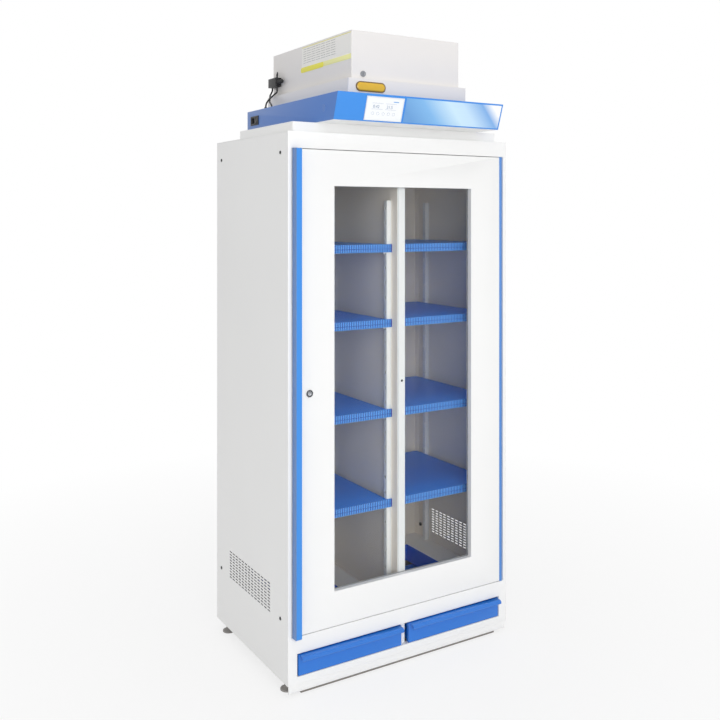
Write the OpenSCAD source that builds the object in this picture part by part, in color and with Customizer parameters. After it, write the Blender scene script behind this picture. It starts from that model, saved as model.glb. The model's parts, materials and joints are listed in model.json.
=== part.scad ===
// Filtered safety cabinet: a two-bay ventilated storage cabinet with one glazed
// door, two base drawers, and a fan box with a filter unit on its roof.
// X runs to the right, Y from the front to the back, Z up from the ground.
// The origin is on the ground, in the middle of the whole outline.

/* [Body] */
// Overall width of the casing
body_w = 800; // [760:10:1000]
// Depth of the casing from its front face to its back
body_d = 518; // [500:2:640]
// Height of the casing above its feet
body_h = 1570; // [1520:10:1760]
// Height of the casing's underside above the ground
foot_h = 32; // [28:1:60]
// Thickness of the casing's sheet steel
sheet_t = 2; // [1.6:0.1:2.6]
// Height of the rail above the door
header_h = 48; // [44:1:90]
// Height of the rail between the door and the drawers
sill_h = 48; // [44:1:90]
// Height of the drawer openings
drawer_open_h = 65; // [60:1:110]
// Height of the rail under the drawers
low_rail_h = 21; // [16:1:50]
// Width of the stile beside each edge of the door
stile_w = 12; // [10:1:18]
// Thickness of the partition between the two bays
partition_t = 21; // [16:1:30]

/* [Door] */
// Thickness of the door
door_t = 24; // [22:1:32]
// Gap all round the door
door_gap = 2; // [1.5:0.1:3]
// Distance from the door's left edge to the window
window_left = 137.5; // [110:0.5:160]
// Distance from the window to the door's right edge
window_right = 116.7; // [90:0.1:150]
// Distance from the door's bottom edge to the window
window_low = 101; // [70:1:120]
// Distance from the window to the door's top edge
window_top = 104; // [70:1:140]
// Thickness of the window pane
pane_t = 4; // [3:0.5:6]
// Width of the grip profile along the door's free edge
grip_w = 18; // [16:1:26]
// Depth that the grip profile stands out
grip_d = 25; // [20:1:35]
// Diameter of the round hinge profile
hinge_d = 14; // [12:1:16]

/* [Shelves] */
// Distance between the slots of the uprights
slot_pitch = 46.4; // [40:0.2:50]
// Slot of each shelf, counted from the lowest slot, from the top shelf down
shelf_slots = [23, 18, 12, 6];
// Height of the shelves' front lip
lip_h = 25; // [20:1:34]
// Thickness of the shelf steel
shelf_t = 1.5; // [1.2:0.1:2]
// Distance from the front face to the shelf lips
shelf_front = 57; // [50:1:70]
// Distance between the ribs of the lips
rib_pitch = 6.2; // [5:0.2:10]

/* [Drawers] */
// Distance that a drawer slides out
drawer_travel = 330; // [200:10:340]
// Distance that the curled pull stands out
pull_d = 21; // [18:1:30]
// Outer radius of the curl of the pull
pull_r = 8; // [6:0.5:10]
// Thickness of the drawer steel
drawer_t = 1.5; // [1.2:0.1:2]

/* [Fan box] */
// Width of the fan box
fan_w = 596; // [560:2:700]
// Height of the fan box
fan_h = 77; // [77:1:110]
// Distance that the lower front edge reaches past the casing
fan_reach_low = 82; // [70:1:100]
// Distance that the upper front edge reaches past the casing
fan_reach_top = 107; // [101:1:130]
// Distance from the fan box's rear to the back of the casing
fan_rear = 16; // [10:1:30]
// Height of the raised plenum under the fan box
riser_h = 30; // [24:1:60]
// Distance from the casing's sides to the raised plenum
riser_inset = 27; // [24:1:60]
// Depth of the raised plenum
riser_d = 371; // [340:1:430]
// Radius of the fan's impeller
impeller_r = 92; // [80:1:98]
// Number of impeller blades
blade_count = 7; // [5:1:9]

/* [Filter unit] */
// Width of the filter's lower frame
frame_w = 432; // [410:2:480]
// Height of the filter's lower frame
frame_h = 55; // [45:1:80]
// Distance from the sides of the lower frame to the filter's cover
cover_inset = 19; // [16:1:30]
// Height of the filter's cover
cover_h = 143; // [130:1:240]

/* [Hidden] */
$fn = 48;

// One overrun for every cut, and the usual clearances
cut = 1;
seat_gap = 0.3;
turn_gap = 0.05;

// Levels and edges of the casing
half_w = body_w / 2;
base_z = foot_h;
top_z = base_z + body_h;
drawer_z0 = base_z + low_rail_h;
drawer_z1 = drawer_z0 + drawer_open_h;
door_z0 = drawer_z1 + sill_h;
door_z1 = top_z - header_h;
floor_z = door_z0;
roof_z = top_z - sheet_t;
inner_x = half_w - sheet_t;
back_y = body_d - sheet_t;
front_y = (fan_reach_top - body_d) / 2;

// Door opening: its rebate holds the door and a seal, in front of a stop
seal_t = 2;
stop_w = 16;
open_x = half_w - stile_w;
rebate_y = door_t + seal_t;
stop_y = rebate_y + sheet_t;
edge_return = 22;

// Drawer openings: a narrow divider stands a little behind the front face
drawer_margin = 30;
drawer_open_x = half_w - drawer_margin;
surround_d = 20;
divider_t = 14;
divider_y = 14;

// Outer radius of the folds at upright corners, and the fold that stiffens panels
bend_r = 3;
fold_w = 20;
press_w = 24;
press_d = 4;
press_share = 1 / 3;
press_end = 60;

// Air grille punched in both side panels
grille_y = 116;
grille_z = 148;
grille_cols = 13;
grille_rows = 10;
grille_pitch_y = 23.3;
grille_pitch_z = 9;
vent_w = 16.5;
vent_h = 3.6;

// Air slots of the roof under the plenum
roof_vent_w = 80;
roof_vent_h = 12;
roof_vent_cols = 4;
roof_vent_rows = 9;
roof_vent_gap_x = 24;
roof_vent_gap_y = 16;

// Feet, foot rails and plinth skirt
pad_r = 20;
pad_h = 8;
pad_neck_r = 9;
pad_neck_h = 5;
pad_sole_t = 4;
foot_x_inset = 22;
foot_y_inset = 48;
stud_r = 5;
stud_above = 18;
nut_r = 9;
nut_h = 8;
rail_w = 24;
rail_y_inset = 30;
rail_end_inset = 45;
skirt_inset = 4;
skirt_gap = 8;
skirt_flange = 20;

// Panel screws: four through each side panel, one in the partition's front edge
screw_head_r = 4;
screw_head_h = 1.6;
screw_shank_r = 2.4;
screw_len = 8;
screw_hole_r = 2.5;
screw_front_inset = 48;
screw_rear_inset = 38;
screw_z_low = 176;
screw_z_top = 59;
partition_screw_share = 0.496;

// Partition: a folded hollow panel whose front post stands in the door opening
partition_skin = 1.5;
post_gap = 0.5;
partition_front = door_t + post_gap;
post_w = 24;
partition_foot_w = 9;
partition_foot_inset = 12;
half_part = partition_t / 2;

// Slotted uprights: channels on the side walls and on the partition
upright_w = 16;
upright_d = 17;
upright_t = 1.5;
groove_x = 7;
groove_w = 5;
groove_d = 4;
upright_front = shelf_front + 5;
upright_rear_gap = 72;
upright_top_gap = 191;
first_slot = 9;
slot_w = 5;
slot_h = 9;
upright_rear = back_y - upright_rear_gap - upright_w;
upright_len = roof_z - floor_z - upright_top_gap;
slot_count = floor((upright_len - first_slot - slot_h) / slot_pitch) + 1;

// Shelf clips: a tab through the slot and a ledge under the shelf
clip_w = 12;
clip_out = 11;
clip_h = 9;
clip_t = 2;
clip_fit = 0.2;
clip_up = 6.3;

// Shelves
rib_w = 3;
rib_d = 1.2;
lip_groove_h = 1.6;
lip_groove_share = 0.6;
shelf_rear_gap = 34;
bay_inner = inner_x - upright_d;
bay_part = half_part + upright_d;

// Openings of the floor over the drawers
floor_open_w = 200;
floor_open_front = 87;
floor_open_rear = 86;
chute_t = 1.5;
chute_flange = 8;
chute_clear = 4;

// Drawers
front_side_gap = 4;
front_divider_gap = 7;
front_low_gap = 2;
front_top_gap = 4;
front_pan_d = 13.5;
tray_low_gap = 4;
tray_top_gap = 14;
tray_side = 13.5;
tray_far_side = 17.5;
pull_inset = 3;
pull_drop = 1.5;
runner_t = 1.5;
runner_drop = 12;
runner_h = 14;
runner_w = 10;
runner_bracket = 30;
runner_clear = 2;
runner_front = surround_d + runner_clear;
slide_keep = 56;
tray_d = drawer_travel + slide_keep;
rail_gap = 0.7;
drawer_x_near = divider_t / 2;
front_x_near = drawer_x_near + front_divider_gap;
front_x_far = drawer_open_x - front_side_gap;
tray_x_near = drawer_x_near + tray_side;
tray_x_far = drawer_open_x - tray_far_side;
front_z0 = drawer_z0 + front_low_gap;
front_z1 = drawer_z1 - front_top_gap;
tray_z0 = drawer_z0 + tray_low_gap;
tray_z1 = drawer_z1 - tray_top_gap;
runner_z0 = tray_z1 - runner_drop;

// Door
door_skin = 1.5;
door_x0 = -open_x + door_gap;
door_z_low = door_z0 + door_gap;
door_z_high = door_z1 - door_gap;
hinge_r = hinge_d / 2;
hinge_proud = 1;
hinge_gap = 0.5;
hinge_x = open_x - door_gap - hinge_gap - hinge_r;
hinge_y = hinge_r - hinge_proud;
hinge_fit = 0.3;
hinge_leaf_t = 3;
hinge_leaf_w = 14;
hinge_lap_share = 0.45;
door_x1 = hinge_x - hinge_lap_share * hinge_d;
pin_r = 3;
pin_depth = 20;
pin_head_r = 3.8;
pin_head_h = 3;
pin_out = sheet_t + pin_head_h;
window_x0 = door_x0 + window_left;
window_x1 = door_x1 - window_right;
window_z0 = door_z_low + window_low;
window_z1 = door_z_high - window_top;
pane_lap = 12;
gasket_lip = 1;
gasket_wall = 2;
gasket_back = 0.5;
back_skin = 1.5;
seal_w = 9;
seal_inset = 2.5;
pane_y1 = door_t - back_skin - gasket_back;
pane_y0 = pane_y1 - pane_t;
bead_y = pane_y0 - gasket_lip;
grip_t = 2.5;
grip_curl = 8;
grip_end = 1;
grip_round = 3;
grip_corner = 5.5;

// Door lock
lock_x = 55;
lock_share = 0.495;
lock_head_r = 10.5;
lock_head_h = 2.5;
lock_body_r = 9;
lock_plug_r = 6;
key_w = 1.6;
key_h = 7;
key_deep = 2;
cam_len = 50;
cam_w = 12;
cam_t = 3;
cam_clear = 0.6;

// Plenum, fan box and its air path
riser_y = 23.5;
riser_w = body_w - 2 * riser_inset;
riser_flange = 18;
inlet_r = 62;
fan_z0 = top_z + riser_h;
fan_z1 = fan_z0 + fan_h;
fan_y1 = body_d - fan_rear;
half_fan = fan_w / 2;
fan_t = 2;
fan_cx = 0;
fan_cy = 210;
fan_lean = atan((fan_reach_top - fan_reach_low) / fan_h);
fan_out_w = 120;
fan_out_h = 90;
fan_out_x = 130;
fan_out_y = 150;
fan_out_back = 30;

// Fan
bracket_w = 226;
bracket_t = 2;
bracket_drop = 5;
post_r = 5;
post_reach = 104;
motor_r = 44;
motor_h = 20;
shaft_r = 5;
motor_gap = 3;
impeller_lift = 9;
impeller_plate = 2;
impeller_hub_r = 16;
hub_short = 10;
shaft_end = 5;
blade_in_r = 48;
blade_curve_r = 62;
blade_off = 58;
blade_t = 2;
shroud_lip = 4;
ring_t = 2;
ring_gap = 1;
ring_flange = 12;
ring_fit = 1.2;
impeller_h = fan_h - 2 * fan_t - bracket_drop - bracket_t - motor_h - motor_gap
    - impeller_plate - impeller_lift;
impeller_hub_h = impeller_h - hub_short;
shaft_below = motor_gap + impeller_hub_h + shaft_end;
bracket_hole_share = 0.75;

// Display, overlay and side fittings of the fan box
display_w = 128;
display_t = 3;
display_inset = 96;
display_top_margin = 7;
display_rim = 3;
display_recess = 1;
overlay_t = 0.8;
overlay_inset = 232;
overlay_end_inset = 6;
overlay_top_margin = 5;
face_low_margin = 4;
face_h = fan_h / cos(fan_lean);
display_x = -half_fan + display_inset;
display_h = face_h - face_low_margin - display_top_margin;
overlay_x = -half_fan + overlay_inset;
overlay_w = fan_w - overlay_inset - overlay_end_inset;
overlay_h = face_h - face_low_margin - overlay_top_margin;
inlet_w = 58;
inlet_h = 30;
inlet_rear = 60;
inlet_y = fan_y1 - inlet_rear;
inlet_z = 43;
inlet_lip = 3;
inlet_proud = 2.5;
inlet_deep = 24;
socket_w = 25;
socket_h = 18;
socket_deep = 17;
socket_shift = 12;
contact_w = 2;
contact_h = 4;
contact_len = 12;
contact_step = 7;
rocker_w = 14;
rocker_h = 21;
rocker_shift = -16;
rocker_deep = 9;
rocker_half_t = 5;
rocker_tilt = 9;
rocker_gap = 0.5;
rocker_pin_r = 1.5;
rocker_pin_len = 1.5;

// Filter unit
frame_front = 22;
frame_rear = 2;
filter_t = 1.5;
cover_w = frame_w - 2 * cover_inset;
cover_front = 10;
cover_rear = 6;
frame_z0 = fan_z1;
frame_z1 = frame_z0 + frame_h;
cover_z1 = frame_z1 + cover_h;
block_inset = 12;
block_front_inset = 26;
block_flange = 9;
block_flange_t = 4;
filter_gasket_t = 2;
block_top_gap = 16;
block_low_gap = 8;
pleat_pitch = 16;
pleat_w = 8;
pleat_deep = 6;
outlet_w = 90;
outlet_h = 7;
outlet_cols = 3;
outlet_rows = 20;
outlet_gap_x = 20;
outlet_gap_y = 14;
filter_lock_inset = 39;
filter_lock_x = -cover_w / 2 + filter_lock_inset;
filter_lock_z = 16;
filter_lock_head_r = 9;
filter_lock_head_h = 3;
filter_lock_body_r = 7;
filter_lock_plug_r = 4.5;
filter_lock_deep = 11;
filter_cam_len = 10;
filter_cam_w = 7;
filter_cam_t = 1.5;
keeper_half_w = 12;
keeper_h = 8;
keeper_gap = 0.8;

// Sensor plug on the cover's left wall, with two short leads down to the fan box
plug_len = 56;
plug_rear_inset = 6;
plug_y1 = body_d - cover_rear - plug_rear_inset;
plug_y0 = plug_y1 - plug_len;
plug_z0 = 32;
plug_z1 = 62;
plug_out = 22;
plug_barrel_r = 6;
plug_barrel_len = 26;
plug_stub_r = 3;
plug_stub_up = 11;
plug_hook_down = 12;
plug_hook_in = 10;
plug_mid = 11;
lead_r = 2.8;
lead_sides = 8;
gland_r = 5;
gland_h = 12;
gland_bore_gap = 0.1;
lead_a = [
    [-11, -10, 0], [-11, -10, -8], [-15, -13, -15], [-21, -19, -22], [-28, -27, -29], [-33, -36, -37],
    [-38, -45, -45], [-43, -54, -52], [-47, -64, -57], [-50, -74, -61], [-53, -84, -64], [-56, -93, -67],
    [-57, -99, -72], [-57, -101, -79], [-57, -101, -88], [-57, -101, -97]
];
lead_b = [
    [-11, -46, -12], [-12, -46, -18], [-17, -47, -23], [-24, -49, -28], [-32, -52, -34], [-40, -56, -40],
    [-47, -60, -46], [-54, -65, -52], [-60, -70, -58], [-65, -75, -64], [-68, -78, -71], [-69, -79, -79],
    [-69, -79, -88], [-69, -79, -97]
];

// Colours of the finishes
white_paint = [0.94, 0.94, 0.93];
grey_paint = [0.72, 0.73, 0.74];
blue_paint = [0.16, 0.45, 0.85];
deep_blue = [0.20, 0.42, 0.80];
steel = [0.70, 0.71, 0.73];
dark_plastic = [0.12, 0.12, 0.13];
rubber_grey = [0.30, 0.30, 0.31];
glass_tint = [0.80, 0.88, 0.92, 0.4];
carbon = [0.20, 0.20, 0.20];
pale_grey = [0.86, 0.86, 0.85];
foot_brown = [0.46, 0.44, 0.42];
overlay_blue = [0.62, 0.80, 0.94];

// Everything is drawn from the front face and moved to the outline's middle
module placed() translate([0, front_y, 0]) children();

// A block between two corners
module span(lo, hi) translate(lo) cube(hi - lo);

// The same block with its four upright edges rounded
module soft_span(lo, hi, r) translate([0, 0, lo[2]]) linear_extrude(hi[2] - lo[2]) {
    translate([lo[0] + r, lo[1]]) square([hi[0] - lo[0] - 2 * r, hi[1] - lo[1]]);
    translate([lo[0], lo[1] + r]) square([hi[0] - lo[0], hi[1] - lo[1] - 2 * r]);
    for (x = [lo[0] + r, hi[0] - r], y = [lo[1] + r, hi[1] - r]) translate([x, y]) circle(r = r);
}

// The shape and its mirror image on the other side
module both_sides() {
    children();
    mirror([1, 0, 0]) children();
}

// Puts a left-hand shape on the side that is asked for
module on_side(side) {
    if (side > 0) mirror([1, 0, 0]) children();
    else children();
}

// A profile drawn in Y and Z, run along X
module along_x(x0, x1) translate([x0, 0, 0]) rotate([90, 0, 90]) linear_extrude(x1 - x0) children();

// A cylinder along Y from y0 to y1, and one along X
module rod_y(x, z, y0, y1, r) translate([x, y0, z]) rotate([-90, 0, 0]) cylinder(h = y1 - y0, r = r);
module rod_x(y, z, x0, x1, r) translate([x0, y, z]) rotate([0, 90, 0]) cylinder(h = x1 - x0, r = r);

// Places of the four levelling feet
function foot_places() = [
    for (sx = [-1, 1], y = [foot_y_inset, body_d - foot_y_inset])
        [sx * (half_w - foot_x_inset), y]
];

// Front frame: face sheet with folded surrounds for the door and the drawers
module front_frame() placed() color(white_paint) difference() {
    union() {
        span([-half_w, 0, base_z], [half_w, sheet_t, top_z]);
        both_sides() span([-inner_x, 0, base_z + sheet_t], [-inner_x + sheet_t, edge_return, roof_z]);
        span([-inner_x + fold_w + sheet_t, 0, roof_z - sheet_t],
             [inner_x - fold_w - sheet_t, edge_return, roof_z]);
        difference() {
            span([-open_x - sheet_t, 0, door_z0 - sheet_t], [open_x + sheet_t, stop_y, door_z1 + sheet_t]);
            span([-open_x + stop_w, -cut, door_z0 + stop_w],
                 [open_x - stop_w, stop_y + cut, door_z1 - stop_w]);
        }
        span([-drawer_open_x - sheet_t, 0, drawer_z0 - sheet_t],
             [drawer_open_x + sheet_t, surround_d, drawer_z1 + sheet_t]);
    }
    span([-open_x, -cut, door_z0], [open_x, rebate_y, door_z1]);
    span([-drawer_open_x, -cut, drawer_z0], [drawer_open_x, surround_d + cut, drawer_z1]);
    translate([hinge_x, hinge_y, door_z0 - sheet_t - cut])
        cylinder(h = door_z1 - door_z0 + 2 * (sheet_t + cut), r = pin_r + turn_gap);
}

// Side panel with its air grille, screw holes and top fold, drawn for the left
module side_panel() color(white_paint) difference() {
    union() {
        span([-half_w, sheet_t, base_z], [-inner_x, body_d, roof_z]);
        span([-inner_x, edge_return, roof_z - sheet_t], [-inner_x + fold_w, back_y, roof_z]);
    }
    for (i = [0 : grille_cols - 1], j = [0 : grille_rows - 1])
        translate([
            -half_w - cut,
            grille_y + i * grille_pitch_y,
            base_z + grille_z + low_rail_h + j * grille_pitch_z
        ]) cube([sheet_t + 2 * cut, vent_w, vent_h]);
    for (y = side_screw_y(), z = side_screw_z())
        rod_x(y, z, -half_w - cut, -inner_x + cut, screw_hole_r);
}
module side_panel_left() placed() side_panel();
module side_panel_right() placed() on_side(1) side_panel();

function side_screw_y() = [screw_front_inset, body_d - screw_rear_inset];
function side_screw_z() = [base_z + screw_z_low, top_z - screw_z_top];

// Back panel with folded edges and two pressed stiffening channels
module back_panel() placed() color(white_paint) difference() {
    union() {
        span([-inner_x, back_y, base_z], [inner_x, body_d, roof_z]);
        both_sides() span([-inner_x, back_y - fold_w, base_z + sheet_t],
                          [-inner_x + sheet_t, back_y, roof_z - sheet_t]);
        both_sides() translate([inner_x * press_share, 0, 0])
            span([-press_w / 2 - sheet_t, back_y - press_d, floor_z + press_end],
                 [press_w / 2 + sheet_t, body_d, roof_z - press_end]);
    }
    both_sides() translate([inner_x * press_share, 0, 0])
        span([-press_w / 2, body_d - press_d, floor_z + press_end + sheet_t],
             [press_w / 2, body_d + cut, roof_z - press_end - sheet_t]);
}

// Roof panel with the air slots that lead into the plenum
module roof_panel() placed() color(white_paint) difference() {
    span([-half_w, sheet_t, roof_z], [half_w, body_d, top_z]);
    for (i = [0 : roof_vent_cols - 1], j = [0 : roof_vent_rows - 1])
        translate([
            (i - (roof_vent_cols - 1) / 2) * (roof_vent_w + roof_vent_gap_x) - roof_vent_w / 2,
            fan_cy + (j - (roof_vent_rows - 1) / 2) * (roof_vent_h + roof_vent_gap_y) - roof_vent_h / 2,
            roof_z - cut
        ]) cube([roof_vent_w, roof_vent_h, sheet_t + 2 * cut]);
}

// Base plate that carries the feet and closes the drawer bay underneath
module base_plate() placed() color(white_paint) difference() {
    span([-inner_x, sheet_t, base_z], [inner_x, back_y, base_z + sheet_t]);
    for (p = foot_places())
        translate([p[0], p[1], base_z - cut]) cylinder(h = sheet_t + 2 * cut, r = stud_r + turn_gap);
}

// Floor of the two bays, open over the drawers
module floor_opening(extra, z0, z1) {
    mid = half_w / 2;
    both_sides() span(
        [-mid - floor_open_w / 2 - extra, stop_y + floor_open_front - extra, z0],
        [-mid + floor_open_w / 2 + extra, back_y - floor_open_rear + extra, z1]);
}
module floor_panel() placed() color(grey_paint) difference() {
    span([-inner_x, stop_y, floor_z - sheet_t], [inner_x, back_y, floor_z]);
    floor_opening(chute_t, floor_z - sheet_t - cut, floor_z + cut);
    both_sides() span([-inner_x - cut, back_y - fold_w - seat_gap, floor_z - sheet_t - cut],
                      [-inner_x + sheet_t + seat_gap, back_y + cut, floor_z + cut]);
}

// Chutes: a collar in each opening, flanged under the floor, that leads down to the
// drawer and ends just above its tray
module floor_chutes() placed() color(deep_blue) difference() {
    union() {
        floor_opening(chute_t, tray_z1 + chute_clear, floor_z);
        floor_opening(chute_flange, floor_z - sheet_t - chute_t, floor_z - sheet_t);
    }
    floor_opening(0, tray_z1 + chute_clear - cut, floor_z + cut);
}

// Divider between the two drawers, folded from one sheet and open at the rear
module drawer_divider() placed() color(white_paint) difference() {
    span([-divider_t / 2, divider_y, base_z + sheet_t], [divider_t / 2, back_y, floor_z - sheet_t]);
    span([-divider_t / 2 + sheet_t, divider_y + sheet_t, base_z + sheet_t - cut],
         [divider_t / 2 - sheet_t, back_y + cut, floor_z]);
    span([-divider_t, -cut, base_z], [divider_t, surround_d, drawer_z0]);
    span([-divider_t, -cut, drawer_z1], [divider_t, stop_y, floor_z]);
}

// Plinth skirt: an angle under the front edge
module plinth_skirt() placed() color(pale_grey) {
    span([-half_w + skirt_inset, skirt_inset, skirt_gap],
         [half_w - skirt_inset, skirt_inset + sheet_t, base_z]);
    span([-half_w + skirt_inset, skirt_inset, base_z - sheet_t],
         [half_w - skirt_inset, skirt_inset + sheet_t + skirt_flange, base_z]);
}

// Foot rails: two channels across the base, front and rear, that stand on the ground
module base_rails() placed() color(foot_brown)
    for (y = [rail_y_inset, body_d - rail_y_inset - rail_w]) difference() {
        span([-half_w + rail_end_inset, y, 0], [half_w - rail_end_inset, y + rail_w, base_z]);
        span([-half_w, y + sheet_t, sheet_t], [half_w, y + rail_w - sheet_t, base_z + cut]);
    }

// Levelling feet: a soft pad with a neck, and a threaded stud with its nut
module foot_pads() placed() color(rubber_grey)
    for (p = foot_places()) translate([p[0], p[1], 0]) rotate_extrude() polygon([
        [0, 0], [pad_r, 0], [pad_r, pad_h / 2], [pad_neck_r, pad_h], [pad_neck_r, pad_h + pad_neck_h],
        [stud_r + turn_gap, pad_h + pad_neck_h], [stud_r + turn_gap, pad_sole_t], [0, pad_sole_t]
    ]);
module foot_studs() placed() color(steel)
    for (p = foot_places()) translate([p[0], p[1], 0]) {
        translate([0, 0, pad_sole_t]) cylinder(h = base_z + stud_above - pad_sole_t, r = stud_r);
        translate([0, 0, base_z - nut_h]) cylinder(h = nut_h, r = nut_r, $fn = 6);
    }

// Partition: a hollow folded panel with foot folds, and a wider post in the door
// opening, in line with the middle of the window
module centre_partition() placed() color(white_paint) difference() {
    union() {
        difference() {
            span([post_x() - post_w / 2, partition_front, door_z0 + stop_w],
                 [post_x() + post_w / 2, stop_y, door_z1 - stop_w]);
            span([post_x() - post_w / 2 + partition_skin, partition_front + partition_skin,
                  door_z0 + stop_w + partition_skin],
                 [post_x() + post_w / 2 - partition_skin, stop_y + cut, door_z1 - stop_w - partition_skin]);
        }
        difference() {
            span([-half_part, stop_y, floor_z], [half_part, back_y, roof_z]);
            span([-half_part + partition_skin, stop_y + partition_skin, floor_z + partition_skin],
                 [half_part - partition_skin, back_y + cut, roof_z - partition_skin]);
        }
        span([-half_part - partition_foot_w, upright_front + upright_w + partition_foot_inset, floor_z],
             [half_part + partition_foot_w, upright_rear - partition_foot_inset, floor_z + partition_skin]);
    }
    rod_y(post_x(), partition_screw_z(), partition_front - cut, stop_y + partition_skin + cut, screw_hole_r);
}
function post_x() = (window_x0 + window_x1) / 2;
function partition_screw_z() = door_z0 + partition_screw_share * (door_z1 - door_z0);

// One slotted upright against a wall at x = 0, with the bay towards -X: a channel
// with a groove down its front face
module upright_section() difference() {
    translate([-upright_d, 0]) square([upright_d, upright_w]);
    difference() {
        translate([-upright_d + upright_t, upright_t])
            square([upright_d - upright_t + cut, upright_w - 2 * upright_t]);
        translate([-groove_x - upright_t, 0]) square([groove_x + upright_t + cut, groove_d + upright_t]);
    }
    translate([-groove_x, -cut]) square([groove_w, groove_d + cut]);
}
module upright() difference() {
    linear_extrude(upright_len) upright_section();
    for (i = [0 : slot_count - 1])
        translate([-upright_d - cut, (upright_w - slot_w) / 2, first_slot + i * slot_pitch])
            cube([upright_t + 2 * cut, slot_w, slot_h]);
}
module shelf_uprights() placed() color(white_paint)
    for (y = [upright_front, upright_rear]) both_sides() {
        translate([-half_part, y, floor_z]) upright();
        translate([-inner_x, y, floor_z]) mirror([1, 0, 0]) upright();
    }

// Height of a shelf's clips, and of its top: its side folds stand on the clips
function clip_z(i) = floor_z + first_slot + shelf_slots[i] * slot_pitch + clip_up;
function shelf_z(i) = clip_z(i) + lip_h;

// One clip against an upright at x = 0, with the bay towards -X: an angle with a
// gusset, and a tab that stands on the lower edge of the slot
module clip(i) translate([0, (upright_w - clip_w) / 2, clip_z(i)]) {
    span([-clip_t, 0, -clip_h], [0, clip_w, 0]);
    span([-clip_out, 0, -clip_t], [0, clip_w, 0]);
    translate([0, (clip_w + clip_t) / 2, 0]) rotate([90, 0, 0]) linear_extrude(clip_t)
        polygon([[-clip_t / 2, -clip_h], [-clip_t / 2, -clip_t / 2], [-clip_out, -clip_t / 2],
                 [-clip_out, -clip_t]]);
    span([-clip_t, (clip_w - slot_w) / 2 + clip_fit, -clip_up + clip_fit],
         [upright_t, (clip_w + slot_w) / 2 - clip_fit, 0]);
}
module shelf_clips() placed() color(steel)
    for (i = [0 : len(shelf_slots) - 1], y = [upright_front, upright_rear]) both_sides() {
        translate([-bay_part, y, 0]) clip(i);
        translate([-bay_inner, y, 0]) mirror([1, 0, 0]) clip(i);
    }

// Shelf of the left bay: flat top, ribbed front lip, folded sides and rear
module shelf_lip_outline(x0, x1) {
    translate([x0, rib_d]) square([x1 - x0, shelf_t]);
    ribs = floor((x1 - x0 - rib_pitch) / rib_pitch);
    start = (x0 + x1 - (ribs - 1) * rib_pitch - rib_w) / 2;
    for (k = [0 : ribs - 1])
        translate([start + k * rib_pitch, 0]) square([rib_w, rib_d + shelf_t / 2]);
}
module shelf(i) {
    z = shelf_z(i);
    x0 = -inner_x + seat_gap;
    x1 = -half_part - seat_gap;
    side0 = -bay_inner + seat_gap;
    side1 = -bay_part - seat_gap;
    lip_back = shelf_front + rib_d + shelf_t;
    rear = back_y - shelf_rear_gap;
    color(deep_blue) difference() {
        union() {
            translate([0, shelf_front, z - lip_h]) linear_extrude(lip_h) shelf_lip_outline(x0, x1);
            span([x0, shelf_front + rib_d, z - shelf_t], [x1, upright_front - seat_gap, z]);
            span([side0, shelf_front + rib_d, z - shelf_t], [side1, rear, z]);
            span([side0, lip_back, z - lip_h], [side0 + shelf_t, rear, z]);
            span([side1 - shelf_t, lip_back, z - lip_h], [side1, rear, z]);
            span([side0, rear - shelf_t, z - lip_h], [side1, rear, z]);
        }
        span([x0 - cut, shelf_front - cut, z - lip_h * lip_groove_share],
             [x1 + cut, shelf_front + rib_d, z - lip_h * lip_groove_share + lip_groove_h]);
    }
}
module shelf_left_1() placed() shelf(0);
module shelf_left_2() placed() shelf(1);
module shelf_left_3() placed() shelf(2);
module shelf_left_4() placed() shelf(3);
module shelf_right_1() placed() on_side(1) shelf(0);
module shelf_right_2() placed() on_side(1) shelf(1);
module shelf_right_3() placed() on_side(1) shelf(2);
module shelf_right_4() placed() on_side(1) shelf(3);

// Fixed drawer runners: channels on the divider and, on brackets, by the side walls
module runner_channel(y0, y1) {
    span([-runner_t, y0, 0], [0, y1, runner_h]);
    span([-runner_w, y0, 0], [0, y1, runner_t]);
    span([-runner_w, y0, runner_h - runner_t], [0, y1, runner_h]);
}
module drawer_runners() placed() color(steel) {
    y1 = front_pan_d + tray_d;
    far_x = tray_x_far + tray_x_near - drawer_x_near;
    both_sides() {
        translate([-drawer_x_near, 0, runner_z0]) runner_channel(runner_front, y1);
        translate([-far_x, 0, runner_z0]) mirror([1, 0, 0]) runner_channel(runner_front, y1);
        for (y = [edge_return + runner_t, y1 - runner_bracket])
            span([-inner_x, y, runner_z0], [-far_x, y + runner_bracket, runner_z0 + runner_h]);
    }
}

// Drawer front: a folded pan with a curled pull along its top edge
module pull_profile() {
    difference() {
        union() {
            translate([-pull_d + pull_r, front_z1 - pull_r]) circle(r = pull_r);
            translate([-pull_d + pull_r, front_z1 - drawer_t]) square([pull_d - pull_r + drawer_t, drawer_t]);
            translate([-pull_d, front_z1 - pull_r - pull_drop]) square([drawer_t, pull_drop + pull_r / 2]);
        }
        translate([-pull_d + pull_r, front_z1 - pull_r]) circle(r = pull_r - drawer_t);
        translate([-pull_d + drawer_t, front_z1 - 2 * pull_r - cut])
            square([pull_d - drawer_t, pull_r + cut]);
        translate([-pull_d + pull_r, front_z1 - 2 * pull_r]) square([pull_d - pull_r, 2 * pull_r - drawer_t]);
    }
}
module drawer_front() color(blue_paint) {
    difference() {
        span([-front_x_far, 0, front_z0], [-front_x_near, front_pan_d, front_z1]);
        span([-front_x_far + drawer_t, drawer_t, front_z0 + drawer_t],
             [-front_x_near - drawer_t, front_pan_d + cut, front_z1 - drawer_t]);
    }
    along_x(-front_x_far + pull_inset, -front_x_near - pull_inset) pull_profile();
}

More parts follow.
